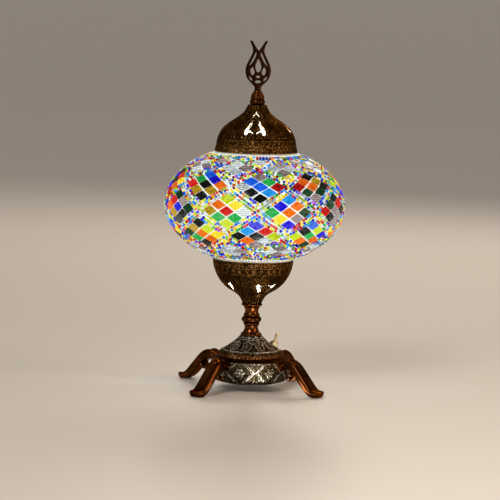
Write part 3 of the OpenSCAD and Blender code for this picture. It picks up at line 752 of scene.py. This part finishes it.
def grout_skin():
    """White grout up to just under the beads' tops, thicker in a smooth band at each mouth."""
    segments = 360
    top, low = math.acos(GROUT_TOP_R / GLASS_A), -math.acos(GROUT_LOW_R / GLASS_A)
    lats = np.linspace(low, top, 130)
    az = around(segments)
    scale = np.hypot(GLASS_A * np.sin(lats), GLASS_B * np.cos(lats))
    from_rim = np.minimum((lats - low) * scale, (top - lats) * scale)
    rise = fade(from_rim, MOUTH_BAND, -1.1)
    off = GROUT_T + 1.1 * rise * rise * (3 - 2 * rise) - 0.5 * np.exp(-(from_rim / 0.5) ** 2)
    rng = np.random.default_rng(3)
    rough = rng.uniform(-0.1, 0.1, (len(lats), segments)) * (1 - rise)[:, None]
    outer = globe_point(lats[:, None], az[None, :], off[:, None] + rough)
    inner_lats = np.linspace(top, low, 40)
    inner = globe_point(inner_lats[:, None], az[None, :], 0.06)
    verts = np.concatenate([outer.reshape(-1, 3), inner.reshape(-1, 3)])
    faces = ring_faces(len(lats) + len(inner_lats), segments, True)
    add_mesh("mosaic_grout", verts, faces, "globe", "white_grout", ["grout_bed"])


grout_skin()


# ---- Engraved shells ----

def ridge(distance, width):
    """A rounded line along the places where the distance is zero."""
    return np.exp(-(distance / width) ** 2)


def lines(x, *rows):
    """Rounded lines, each given by its place along x and its width."""
    return sum(ridge(x - place, width) for place, width in rows)


def polygon_distance(points, outline):
    """Signed distance to a closed outline, negative inside."""
    a = np.array(outline, float)
    b = np.roll(a, -1, 0)
    best = np.full(len(points), 1e9)
    near = np.zeros((len(points), 2))
    inside = np.zeros(len(points), bool)
    for p, q in zip(a, b):
        d = q - p
        u = np.clip(((points - p) @ d) / max(d @ d, 1e-12), 0, 1)
        foot = p + u[:, None] * d
        gap = np.linalg.norm(points - foot, axis=1)
        closer = gap < best
        best[closer], near[closer] = gap[closer], foot[closer]
        if p[1] != q[1]:
            crosses = (p[1] > points[:, 1]) != (q[1] > points[:, 1])
            at = p[0] + (points[:, 1] - p[1]) / (q[1] - p[1]) * d[0]
            inside ^= crosses & (points[:, 0] < at)
    return np.where(inside, -best, best), near


# The states of a shell's grid points, and how far from a motif's middle its openings may lie.
SOLID, EDGE, OPEN = 0, 1, 2
MOTIF_AZ = 0.75
MOTIF_Z = 34
FAR = 9.0
# The relief sinks to nothing this near to an opening.
PLAIN_RIM = 0.8
# The tones of a shell's inside, its raw metal painted pale with the bulb's light, and of its two
# ends.
RAW_AND_BULB_LIT_TONE, END_TONE = 1.6, 0.2


def motif_distance(points, outlines):
    """Signed distance to the nearest of several outlines, and the nearest point on it."""
    distance = np.full(len(points), FAR)
    foot = points.copy()
    for outline in outlines:
        d, f = polygon_distance(points, outline)
        closer = (abs(d) < abs(distance)) | (d < 0)
        distance[closer], foot[closer] = d[closer], f[closer]
    return distance, foot


def cut_motif(grid_az, grid_z, state, gap, centre, motif, radius_at):
    """Moves the grid points nearest to a motif's outlines onto them, and marks what is open."""
    outlines, base = motif
    off = (grid_az - centre + np.pi) % (2 * np.pi) - np.pi
    mask = (abs(off) < MOTIF_AZ) & (abs(grid_z - base) < MOTIF_Z)
    index = np.nonzero(mask)
    x = radius_at(grid_z) * np.sin(off)
    distance, nearest = motif_distance(np.stack([x[index], grid_z[index] - base], 1), outlines)
    field = np.full(grid_az.shape, FAR)
    field[index] = distance
    feet = np.zeros(grid_az.shape + (2,))
    feet[index] = nearest
    inside = field < 0
    snap = np.zeros_like(inside)
    for shift in ((0, 1), (0, -1), (1, 0), (-1, 0)):
        other = np.roll(field, shift, (0, 1))
        snap |= (inside != (other < 0)) & (abs(field) <= abs(other))
    snap &= mask
    new_z = feet[..., 1] + base
    new_az = centre + np.arcsin(np.clip(feet[..., 0] / radius_at(new_z), -0.99, 0.99))
    grid_az = np.where(snap, new_az, grid_az)
    grid_z = np.where(snap, new_z, grid_z)
    state = np.where(inside & ~snap, OPEN, np.where(snap, EDGE, state))
    gap = np.minimum(gap, np.where(snap, 0, abs(field)))
    return grid_az, grid_z, state, gap


def faces_round_openings(quads, code, opened):
    """The quads and triangles of a grid that lie outside its openings."""
    kept = []
    for quad in quads:
        kinds = code[quad]
        if (kinds == OPEN).any():
            if not (kinds == SOLID).any():
                continue
            split = ((0, 1, 3), (1, 2, 3))
            if kinds[0] == EDGE and kinds[2] == EDGE:
                split = ((0, 1, 2), (0, 2, 3))
            for corners in split:
                triangle = quad[list(corners)]
                if not (code[triangle] == OPEN).any():
                    kept.append(list(triangle))
        elif not ((kinds == EDGE).all() and opened(quad)):
            kept.append(list(quad))
    return kept


def open_edges(faces):
    """The directed edges that only one face has."""
    edges = dict.fromkeys(e for face in faces for e in zip(face, face[1:] + face[:1]))
    return [(a, b) for a, b in edges if (b, a) not in edges]


def pierced_shell(name, curve, relief, motif_az, motif, node, body, segments=440, rows=100):
    """A turned bronze shell with engraved relief outside and pierced motifs right through.
    A motif is its outlines, in millimetres along the shell and in height, and its base's height."""
    path = resampled(evenly(curve, 0.2), rows)
    normal = outward_normals(path)
    order = np.argsort(path[:, 1])
    heights, radii = path[order, 1], path[order, 0]

    def radius_at(z):
        return np.interp(z, heights, radii)

    grid_az = np.repeat(around(segments)[None], len(path), 0)
    grid_z = np.repeat(path[:, 1:], segments, 1)
    gap = np.full(grid_az.shape, FAR)
    state = np.full(grid_az.shape, SOLID)
    for centre in motif_az:
        grid_az, grid_z, state, gap = cut_motif(grid_az, grid_z, state, gap, centre, motif,
                                                radius_at)

    def opened(quad):
        """Whether the middle of a quad lies in an opening."""
        az, z = grid_az.reshape(-1)[quad].mean(), grid_z.reshape(-1)[quad].mean()
        for centre in motif_az:
            off = (az - centre + math.pi) % (2 * math.pi) - math.pi
            point = np.array([[radius_at(z) * math.sin(off), z - motif[1]]])
            if abs(off) <= MOTIF_AZ and motif_distance(point, motif[0])[0][0] < 0:
                return True
        return False

    grid_r = radius_at(grid_z)
    nr = np.interp(grid_z, heights, normal[order, 0])
    nz = np.interp(grid_z, heights, normal[order, 1])
    lift, tone = relief(grid_az, grid_z, grid_r, gap)
    lift = lift * fade(gap, 0, PLAIN_RIM)
    outer = turn_points(grid_r + lift * nr, grid_z + lift * nz, grid_az)
    inner = turn_points(grid_r - SHELL_WALL * nr, grid_z - SHELL_WALL * nz, grid_az)
    total = len(outer)
    quads = ring_faces(len(path), segments, False)
    kept = faces_round_openings(quads, state.reshape(-1), opened)
    faces = kept + [[i + total for i in reversed(face)] for face in kept]
    faces += [[b, a, a + total, b + total] for a, b in open_edges(kept)]
    # The inside is painted pale as raw metal lit by the bulb; its end rows stay dark.
    inner_tone = np.full(grid_az.shape, RAW_AND_BULB_LIT_TONE)
    inner_tone[[0, 1, -2, -1]] = END_TONE
    tones = np.concatenate([tone.reshape(-1), inner_tone.reshape(-1)])
    add_mesh(name, np.concatenate([outer, inner]), faces, body, "engraved_bronze", [node],
             tone=tones)


def cell_offset(az, r, count, phase=0.0):
    """Distance in millimetres, along the shell, from the middle of the nearest of count cells."""
    step = 2 * np.pi / count
    off = az / step - phase
    return (off - np.round(off)) * step * r


def to_tone(lift):
    """How worn each place is, from 0 in the grooves to 1 on the ridges."""
    low, high = np.percentile(lift, 4), np.percentile(lift, 96)
    return np.clip((lift - low) / (high - low), 0, 1)


def scroll_band(az, z, r, middle, count, half):
    """A band of small rings with a dot in each and curls between them."""
    x = cell_offset(az, r, count)
    y = z - middle
    rho = np.hypot(x, y)
    rings = ridge(rho - 0.62 * half, 0.3) + ridge(rho, 0.4)
    x2 = cell_offset(az, r, count, 0.5)
    curls = sum(ridge(np.hypot(x2 - side * 0.5, y - side * 0.35 * half) - 0.3 * half, 0.25)
                for side in (1, -1))
    return (rings + curls) * fade(abs(y), half, -0.3)


MOTIFS = 4
CAP_AZ, BOWL_AZ = -100, -70
CAP_MOTIF_Z, BOWL_MOTIF_Z = 257, 109.5
BOWL_SCALE = (1.05, 0.78)
SHELL_WALL = 1.5
cap_low, cap_high = cad_mm("top_cap")
bowl_low, bowl_high = cad_mm("lower_bowl")
wing = smooth([(1.8, 1.7), (2.1, 4), (5, 5.4), (5.3, 7.4), (2.7, 10.7), (3.3, 12.7), (2.6, 15.5),
               (7.3, 9.3), (10.3, 4.7), (9.7, 0), (6, 3.4), (1.8, 1.7)], 3)[:-1]
chevron = np.array([(0, 23.2), (3.7, 18.2), (2.9, 17.6), (0, 20.7), (-2.9, 17.6), (-3.7, 18.2)])
drop = smooth([(0, 17.2), (1.1, 18.8), (0, 20.6), (-1.1, 18.8), (0, 17.2)], 3)[:-1]


def inverted(outline):
    """A cap's outline turned upside down and squashed to the bowl's size."""
    return (np.array(outline) * BOWL_SCALE * (1, -1))[::-1]


def motif_places(first):
    """The azimuths of a shell's motifs, in radians, from the first one's in degrees."""
    return [math.radians(first + i * 360 / MOTIFS) for i in range(MOTIFS)]


def leaf_field(az, z, r, gap, motif_az):
    """Feathered leaves round each motif, with a border that follows its openings."""
    step = 2 * np.pi / MOTIFS
    off = (az - motif_az) / step
    x = (off - np.round(off)) * step * r
    between = abs(abs(x) - step * r / 2)
    veins = np.sin(2 * np.pi * (abs(x) * 0.42 - z * 0.5) / 0.95)
    leaf = np.sin(2 * np.pi * (between * 0.42 + z * 0.5) / 0.95)
    split = np.clip((abs(x) - between) / 1.5 + 0.5, 0, 1)
    field = 0.09 * (veins * (1 - split) + leaf * split)
    border = ridge(gap - 0.9, 0.35) + 0.8 * ridge(gap - 2.2, 0.3) - 0.6 * ridge(gap - 1.55, 0.3)
    return field + 0.2 * border + 0.2 * ridge(between, 0.35)


def cap_relief(az, z, r, gap):
    """Scrolls, beads and dots round the rim, leaves above them, flutes at the neck."""
    up = z - cap_low.z
    lift = 0.22 * lines(up, (0.9, 0.4), (6.3, 0.3), (7.9, 0.35), (12.2, 0.3))
    lift += 0.28 * scroll_band(az, z, r, cap_low.z + 3.6, 40, 2.3)
    lift += 0.26 * ridge(np.hypot(cell_offset(az, r, 46) / 1.4, up - 10.1), 0.75)
    lift += 0.26 * ridge(np.hypot(cell_offset(az, r, 60), up - 15.6), 0.6)
    lift += fade(up, 17.5, 1) * leaf_field(az, z, r, gap, math.radians(CAP_AZ))
    neck = fade(up, 40, 1)
    lift = lift * (1 - neck) + neck * 0.1 * np.sin(26 * az)
    return lift, to_tone(lift)


def bowl_relief(az, z, r, gap):
    """Scrolls and rosettes round the rim, leaves below them, flutes at the neck."""
    down = bowl_high.z - z
    lift = 0.22 * lines(down, (0.8, 0.35), (6.4, 0.3), (11.6, 0.3), (13.2, 0.3))
    lift += 0.28 * scroll_band(az, z, r, bowl_high.z - 3.6, 40, 2.3)
    x = cell_offset(az, r, 34)
    lift += 0.24 * ridge(np.hypot(x / 1.2, down - 9) - 1.1, 0.35)
    lift += 0.2 * ridge(np.hypot(x, down - 9), 0.5)
    lift += fade(down, 14.2, 1) * leaf_field(az, -z, r, gap, math.radians(BOWL_AZ))
    neck = fade(down, 38, 1)
    lift = lift * (1 - neck) + neck * 0.08 * np.sin(22 * az)
    return lift, to_tone(lift)


rim_z = cap_low.z
cap_curve = np.concatenate([[(41.6, rim_z)], smooth([
    (41.6, rim_z + 0.5), (40.4, 243.8), (39.6, 249.3), (38.1, 254.8), (34.4, 261.3), (28, 267.4),
    (18.6, 273.8), (13.7, 278), (11.2, 281.8), (9.1, cap_high.z)], 8)])
pierced_shell("cap_engraved", cap_curve, cap_relief, motif_places(CAP_AZ),
              ([wing, flipped(wing), chevron], CAP_MOTIF_Z), "top_cap", "cap")

neck_low, neck_high = cap_high.z - 2.6, cap_high.z - 0.1
turned("cap_neck", [(8.2, neck_low), (8.2, neck_high), (3.4, neck_high), (3.4, neck_low)], "cap",
       "engraved_bronze", ["top_cap"])

bowl_curve = np.concatenate([smooth([
    (9.5, bowl_low.z), (10.4, 88.4), (12, 91.3), (14.4, 94.4), (18.6, 97.6), (24.9, 101.3),
    (30.4, 106.2), (34.4, 111.5), (37.7, 117.8), (39.7, 124.2), (40.4, bowl_high.z - 0.5)], 8),
    [(40.4, bowl_high.z)]])
pierced_shell("bowl_engraved", bowl_curve, bowl_relief, motif_places(BOWL_AZ),
              ([inverted(wing), inverted(flipped(wing)), inverted(drop)], BOWL_MOTIF_Z),
              "lower_bowl", "root")


# ---- Engraved base ----

BASE_WALL = 1.6


def engraved_turn(name, curve, relief, node, look, segments=420, rows=110):
    """A turned shell of the base, engraved outside and plain inside."""
    path = resampled(evenly(evenly(curve, 0.1), 0.1), rows)
    normal = outward_normals(path)
    az = around(segments)
    lift, tone = relief(*np.broadcast_arrays(az[None, :], path[:, 1:], path[:, :1]))
    outer = turn_points(path[:, :1] + lift * normal[:, :1], path[:, 1:] + lift * normal[:, 1:], az)
    back = (path - BASE_WALL * normal)[::-6]
    inner = turn_points(back[:, :1], back[:, 1:], az)
    tones = np.concatenate([tone.reshape(-1), np.full(len(inner), 0.4)])
    faces = ring_faces(len(path) + len(back), segments, True)
    add_mesh(name, np.concatenate([outer, inner]), faces, "root", "antique_silver", [node], look,
             tones)


dome_low, dome_high = cad_mm("base_dome")
band_curve = np.concatenate([
    [(39.2, dome_low.z), (39.2, dome_low.z + 0.5)],
    smooth([(38.9, 31), (35, 31.7), (32.6, 33.4), (31.7, 35.8), (31.2, 37.6)], 6)])
cone_curve = np.concatenate([[(31.2, 37.6)],
    smooth([(30.4, 38.5), (27, 40.3), (23.2, 42.7), (19.6, 45.1), (16.9, 47.4), (14.4, 49.7),
            (12.2, 51.9), (10.8, dome_high.z)], 6)])


def dome_relief(az, z, r):
    """Petals and arches on the cone, a scroll on the band below it, a dark rim."""
    cone = fade(z, 38.9, 0.5)
    lift = 0.2 * lines(z, (52, 0.3), (50.4, 0.25), (39.4, 0.3))
    x = cell_offset(az, r, 10)
    reach = 6.4 * np.sin(np.pi * fade(z, 40, 9.5)) ** 0.7 * r / 32
    lift += cone * 0.24 * (ridge(abs(x) - reach, 0.4) + ridge(x, 0.35) * (reach > 1))
    lift += cone * 0.1 * np.sin(2 * np.pi * (abs(x) + z * 0.9) / 1.5) * (abs(x) < reach)
    lift += cone * 0.14 * ridge(np.hypot(cell_offset(az, r, 10, 0.5), z - 47.2) - 1.1, 0.3)
    band = fade(z, 37.4, -0.4) * fade(z, 32.4, 0.4)
    lift += band * 0.22 * scroll_band(az, z, r, 35, 30, 2.3)
    rim = fade(r, 33.5, 2) * fade(r, 38.2, -0.4)
    lift += rim * 0.12 * np.sin(2 * np.pi * r / 1.9) * np.sin(54 * az)
    return lift, to_tone(lift) * (1 - 0.75 * rim)


engraved_turn("dome_engraved", cone_curve, dome_relief, "base_dome", "antique_silver")
engraved_turn("dome_band_engraved", band_curve, dome_relief, "base_dome", "cavetto_bronze")

drum_low, drum_high = cad_mm("base_drum")
drum_curve = smooth([(23, drum_low.z + 0.1), (26.6, drum_low.z), (30.6, drum_low.z), (34.2, 8.4),
                     (37, 9.8), (39, 12.6), (39.7, 17), (39.8, 23), (39.5, 27.6),
                     (38.6, drum_high.z)], 8)


def drum_relief(az, z, r):
    """Crossed bands with a flower between them, and lotus leaves round the foot."""
    side = fade(z, 11, 1.2) * fade(z, 29, -0.5)
    x = cell_offset(az, r, 8)
    y = (z - 20.4) * 1.05
    cross = ridge(abs(x) - abs(y) * 0.9 - 0.8, 0.5) + ridge(abs(x) - abs(y) * 0.9 - 2.7, 0.35)
    x2 = cell_offset(az, r, 8, 0.5)
    flower = ridge(np.hypot(x2, y) - 3.4 - 1.2 * np.cos(6 * np.arctan2(y, x2)), 0.5)
    lift = side * (0.26 * cross + 0.26 * flower + 0.25 * ridge(np.hypot(x2, y), 1.0))
    lift += side * 0.1 * np.sin(2 * np.pi * (abs(x) - z) / 1.5) * (abs(x) < abs(y) * 0.9)
    leaf = 3 * np.sqrt(np.clip(1 - ((r - 33) / 6.5) ** 2, 0, 1))
    low = fade(z, 12.6, -0.5) * fade(r, 29, 0.5)
    lift += low * 0.22 * ridge(abs(cell_offset(az, r, 24)) - leaf, 0.35)
    lift += 0.2 * ridge(z - 29.2, 0.3)
    return lift, to_tone(lift)


engraved_turn("drum_engraved", drum_curve, drum_relief, "base_drum", "antique_silver")


# ---- Stem and collar ----

def turned_part(name, outline, bore, body, node):
    """A turned copper piece with a bore, from its outer outline."""
    closed = np.concatenate([outline, [[bore, outline[-1, 1]], [bore, outline[0, 1]]]])
    turned(name, closed, body, "copper_bronze", [node])


BORE = 5.25
spool_low, spool_high = cad_mm("lower_spool")
bead_low, bead_high = cad_mm("stem_bead")
foot_z, bead_z = spool_low.z, (bead_low.z + bead_high.z) / 2
spool = np.concatenate([
    smooth([(8.4, 0), (9.9, 0.2), (10.55, 0.8), (10.6, 1.5), (10, 2.2), (8.9, 2.6)], 5),
    smooth([(8.5, 3), (7.5, 4.9), (6.85, 6.8), (6.7, 8.2), (7, 9.6), (7.3, 10.3)], 5),
    smooth([(7.6, 10.5), (8.2, 11.1), (8.25, 11.9), (7.9, 12.5), (7.6, spool_high.z - foot_z)], 5)])
spool += (0, foot_z)
turned_part("stem_spool_low", spool, BORE, "root", "lower_spool")
turned_part("stem_spool_high", (spool * (1, -1) + (0, 2 * bead_z))[::-1], BORE, "root",
            "upper_spool")
half_bead = bead_high.z - bead_z
bead = smooth([(7.4, -half_bead), (8.6, -2.7), (9.8, -1.3), (10.1, 0), (9.8, 1.3), (8.6, 2.7),
               (7.4, half_bead)], 8) + (0, bead_z)
turned_part("stem_bead_turned", bead, BORE, "root", "stem_bead")

collar_low, collar_high = cad_mm("finial_collar")
collar = np.concatenate([
    smooth([(6.2, 0), (7.1, 0.7), (7.65, 2.2), (7.65, 3.4), (7.1, 4.7), (6.3, 5.4)], 5),
    smooth([(6.4, 5.55), (6.9, 5.9), (7, 6.6), (6.8, 7.3), (6.2, 7.6)], 4),
    smooth([(6.2, 7.75), (6.6, 8.1), (6.5, 8.9), (5.9, 9.5)], 4),
    smooth([(5.7, 9.7), (6, 10.1), (5.8, 10.8), (5.2, 11.4)], 4),
    smooth([(4.9, 11.6), (4.6, 12.2), (4.1, 12.9), (3.9, collar_high.z - collar_low.z)], 4)])
turned_part("collar_turned", collar + (0, collar_low.z), 3.1, "finial", "finial_collar")


# ---- Tulip ----

TULIP_AZ = -97
TULIP_T = 3.2
TULIP_ROUND = 0.5


def tulip_outlines():
    """The outer outline and the openings, from the stem's foot up."""
    half = smooth([(3.5, 0), (3.5, 4), (7.7, 8.6), (11.2, 13), (12.75, 19.4), (11.8, 25.5),
                   (8.6, 32.4), (6, 38.4), (6.4, 43.8), (8.8, 49.1), (7.6, 50)], 6)
    notch = smooth([(6.4, 49.7), (3.7, 45.3), (1.7, 42.2), (0, 40)], 5)
    right = np.concatenate([half, notch])
    outer = np.concatenate([right, flipped(right)[1:]])
    side = np.concatenate([smooth([(2.5, 39), (3.3, 37), (5.4, 32.6), (9.2, 24.6)], 5)[:-1],
                           smooth([(9.2, 24.6), (6.6, 27.4), (3.7, 32.4), (2.2, 36.4)], 5)])
    oval = smooth([(0, 32.2), (2.7, 25.6), (2.2, 20.6), (0, 18.2)], 6)
    almond = smooth([(5.6, 23.9), (7.7, 20.4), (6.1, 15.6), (3.6, 18), (5.6, 23.9)], 5)[:-1]
    slit = smooth([(9, 14.8), (8.4, 12.1), (5.9, 10), (6.1, 11.8), (9, 14.8)], 5)[:-1]
    holes = [np.concatenate([oval, flipped(oval)[1:-1]])]
    for hole in (side, almond, slit):
        holes += [hole, flipped(hole)]
    holes += [ellipse(0, 14.1, 2, 1.2, 20), ellipse(0, 9.1, 3, 1.4, 24)]
    low, _ = cad_mm("tulip_finial")
    return outer + (0, low.z), [hole + (0, low.z) for hole in holes]


def tulip_piece():
    """The flat casting, cut from its outlines and rounded along every edge."""
    outer, holes = tulip_outlines()
    bm = bmesh.new()
    for outline in [outer] + holes:
        ring = [bm.verts.new((x * MM, -TULIP_T / 2 * MM, z * MM)) for x, z in outline]
        for a, b in zip(ring, ring[1:] + ring[:1]):
            bm.edges.new((a, b))
    bmesh.ops.triangle_fill(bm, use_beauty=True, use_dissolve=False, edges=bm.edges[:])
    made = bmesh.ops.extrude_face_region(bm, geom=bm.faces[:])
    moved = [e for e in made["geom"] if isinstance(e, bmesh.types.BMVert)]
    bmesh.ops.translate(bm, vec=(0, TULIP_T * MM, 0), verts=moved)
    bmesh.ops.recalc_face_normals(bm, faces=bm.faces[:])
    sharp = [e for e in bm.edges if len(e.link_faces) == 2 and e.calc_face_angle(0) > 0.9
             and abs(e.verts[0].co.y - e.verts[1].co.y) < 1e-6]
    bmesh.ops.bevel(bm, geom=sharp, offset=TULIP_ROUND * MM, segments=3, profile=0.5,
                    affect="EDGES", clamp_overlap=True)
    mesh = bpy.data.meshes.new("tulip_cast")
    bm.to_mesh(mesh)
    bm.free()
    add_piece(mesh, "finial", "engraved_bronze", ["tulip_finial"], "tulip_bronze")
    mesh.set_sharp_from_angle(angle=math.radians(40))
    mesh.transform(Matrix.Rotation(math.radians(TULIP_AZ + 90), 4, "Z"))


tulip_piece()


# ---- Feet ----

# A foot's line and the bar of its scroll: distance from the axis, height, half thickness.
FOOT_LINE = smooth([(34, 24, 4.4), (43, 27, 4.7), (50, 29.4, 4.7), (56.6, 27.2, 4.2),
                    (62.8, 21.2, 4), (68.8, 14.6, 3.9), (74.6, 8.4, 3.7), (79.6, 4.4, 3.4),
                    (84, 3.3, 3.3)], 6)
SCROLL_LINE = smooth([(62.4, 20.6, 2.2), (60.2, 17.7, 1.9), (57.2, 15.3, 1.5), (54, 14.7, 1.5),
                      (52.2, 15.8, 1.6)], 4)
SCROLL_W = 14.6
# The scroll's two rolls: distance from the axis, height, radius.
ROLLS = ((52.8, 16, 2.3), (61.2, 18.4, 1.9))
ROLL_SIDES = 20
# How the toe rounds off: the distance past the line's end, and the section's scale there.
TOE = ((2.6, 0.97), (4.0, 0.9), (4.7, 0.72), (4.9, 0.3))
FLOOR_GAP = 0.02


def foot_section(width, thick):
    """One ring round the foot: a channel between two ridges on top, a soft flat underside."""
    u = np.linspace(-1, 1, 25)
    edge = np.clip(1 - np.abs(u) ** 10, 0, 1) ** 0.5
    top = thick * edge * (1.02 - 0.5 * np.clip(1 - (u / 0.55) ** 2, 0, 1))
    low_u = np.linspace(1, -1, 13)[1:-1]
    low = -thick * np.clip(1 - np.abs(low_u) ** 10, 0, 1) ** 0.5
    top, low = np.stack([u * width / 2, top], 1), np.stack([low_u * width / 2, low], 1)
    return np.concatenate([top, low])


def swept(line, widths):
    """Rings of the foot's section along a line, as wide as the widths say."""
    rings = []
    for (x, z, half), (nx, nz), width in zip(line, left_normals(line[:, :2]), widths):
        section = foot_section(width, half)
        rings.append(np.stack([x + nx * section[:, 1], section[:, 0], z + nz * section[:, 1]], 1))
    return rings


def foot_roll(x, z, radius):
    """A roll of the scroll, across the foot, with rounded ends and a slight waist."""
    path = [(-7.8, 0.25), (-7.5, 0.8), (-6.8, 1), (0, 0.94), (6.8, 1), (7.5, 0.8), (7.8, 0.25)]
    return loft([np.array([(x + radius * size * math.cos(a), y, z + radius * size * math.sin(a))
                           for a in around(ROLL_SIDES)]) for y, size in path])


def foot_piece(name, azimuth):
    """A cast foot with the scroll under its knee, turned to its azimuth."""
    rings = swept(FOOT_LINE, np.interp(FOOT_LINE[:, 0], [38, 42, 48, 56, 72, 82],
                                       [9.5, 10, 15, 15.4, 16, 16.2]))
    end, middle = rings[-1], np.array([0, 0, FOOT_LINE[-1, 1]])
    for ahead, shrink in TOE:
        rings.append((end - middle) * (1, shrink, shrink) + middle + (ahead, 0, 0))
    verts, faces = loft(rings)
    verts[:, 2] = np.maximum(verts[:, 2], FLOOR_GAP)
    bar = loft(swept(SCROLL_LINE, [SCROLL_W] * len(SCROLL_LINE)))
    verts, faces = joined([(verts, faces), bar] + [foot_roll(*roll) for roll in ROLLS])
    turn = math.radians(azimuth)
    spin = np.array([[math.cos(turn), math.sin(turn), 0], [-math.sin(turn), math.cos(turn), 0],
                     [0, 0, 1]])
    piece = add_mesh(name + "_cast", verts @ spin, faces, "root", "copper_bronze", [name])
    soften = piece.modifiers.new("soften", "SUBSURF")
    soften.levels = soften.render_levels = 1


for foot_name, foot_az in (("foot_front_left", 225), ("foot_front_right", 315),
                           ("foot_rear_right", 45), ("foot_rear_left", 135)):
    foot_piece(foot_name, foot_az)


# ---- CAD nodes that keep their shape ----

slots = {row["node"]: row["material_slot"] for row in frame["record"]["subparts"]}
for node_name, cad in NODES.items():
    cad.data.materials.clear()
    cad.data.materials.append(LOOKS[slots[node_name]])


# ---- Floor, light and camera ----

FLOOR_R = 300.0
FLOOR_SIDES = 96


def floor():
    """A plain pale floor that reaches the horizon."""
    mesh = bpy.data.meshes.new("studio_floor")
    ring = [(FLOOR_R * math.cos(a), FLOOR_R * math.sin(a), 0) for a in around(FLOOR_SIDES)]
    mesh.from_pydata(ring, [], [list(range(FLOOR_SIDES))])
    g = Graph("pale_floor")
    cloud = g.noise(0.6, 2, 0.4)
    colour = g.ramp(cloud, [(0.3, (0.74, 0.69, 0.63)), (0.7, (0.76, 0.71, 0.65))])
    rough = g.spread(cloud, 0.3, 0.7, 0.34, 0.36)
    mesh.materials.append(g.finish(Base_Color=colour, Roughness=rough))
    linked("studio_floor", mesh)


def lamp(name, kind, place, power, colour):
    """A light of a kind at a place, and its data."""
    data = bpy.data.lights.new(name, kind)
    data.energy = power
    data.color = colour
    light = linked(name, data)
    light.location = place
    return light, data


def area_light(name, place, aim, size, power, colour):
    """A soft rectangular light that looks at a point."""
    light, data = lamp(name, "AREA", place, power, colour)
    data.shape = "RECTANGLE"
    data.size, data.size_y = size
    light.rotation_euler = (Vector(aim) - Vector(place)).to_track_quat("-Z", "Y").to_euler()
    return light


def point_light(name, place, radius, power, colour):
    """A small round light."""
    _, data = lamp(name, "POINT", place, power, colour)
    data.shadow_soft_size = radius


floor()
# Positions and sizes of lights are in metres, their power in watts.
MIDDLE = (0, 0, 0.17)
area_light("key", (-1.1, -1.5, 1.5), MIDDLE, (0.7, 0.7), 20, (1.0, 0.95, 0.88))
area_light("fill", (1.5, -0.9, 0.7), MIDDLE, (0.5, 1.0), 10, (1.0, 0.70, 0.42))
area_light("rim", (0.6, 1.6, 1.2), MIDDLE, (1.2, 0.7), 14, (1.0, 0.90, 0.78))
area_light("front_strip", (0.28, -1.57, 0.22), (0, 0, 0.03), (0.16, 0.3), 3.0, (1.0, 1.0, 1.0))
# The light that a glossy table would throw up at the base.
glint = area_light("table_glint", (0.017, -0.085, 0.003), (0.017, -0.085, 1), (0.055, 0.07), 0.11,
                   (0.94, 0.98, 1.0))
glint.visible_camera = False
# The bulb's light, inside the cap, the bowl and the globe.
point_light("glow_in_cap", (0, 0, 0.2485), 0.01, 0.4, (0.86, 0.95, 1.0))
point_light("glow_in_bowl", (0, 0.021, 0.120), 0.005, 0.3, (0.86, 0.95, 1.0))
point_light("bulb_glow", (0, 0, 0.178), 0.02, 0.5, (1.0, 0.86, 0.66))

world = bpy.data.worlds.new("studio")
world.use_nodes = True
background = world.node_tree.nodes["Background"]
background.inputs["Color"].default_value = (0.56, 0.50, 0.44, 1)
background.inputs["Strength"].default_value = 0.55
bpy.context.scene.world = world
bpy.context.scene.view_settings.view_transform = "Standard"

# The camera stands at a distance and height from the lamp's axis and looks at a height on it.
# A small side shift and a roll stand for the lean of the lamp.
CAMERA_AZ = math.radians(-7.2)
CAMERA_DISTANCE, CAMERA_HEIGHT = 2.5, 0.410
AIM_HEIGHT = 0.1398
SIDE_SHIFT = 0.0034
CAMERA_ROLL = math.radians(1.55)
FOCAL_RATIO = 5
camera_data = bpy.data.cameras.new("camera")
camera_data.lens = camera_data.sensor_width * FOCAL_RATIO
camera = linked("camera", camera_data)
side = Vector((math.cos(CAMERA_AZ), math.sin(CAMERA_AZ), 0))
back = Vector((math.sin(CAMERA_AZ), -math.cos(CAMERA_AZ), 0))
aim = Vector((0, 0, AIM_HEIGHT)) - side * SIDE_SHIFT
camera.location = back * CAMERA_DISTANCE + Vector((0, 0, CAMERA_HEIGHT)) - side * SIDE_SHIFT
camera.rotation_euler = (aim - camera.location).to_track_quat("-Z", "Y").to_euler()
camera.rotation_euler.rotate_axis("Z", CAMERA_ROLL)
bpy.context.scene.camera = camera
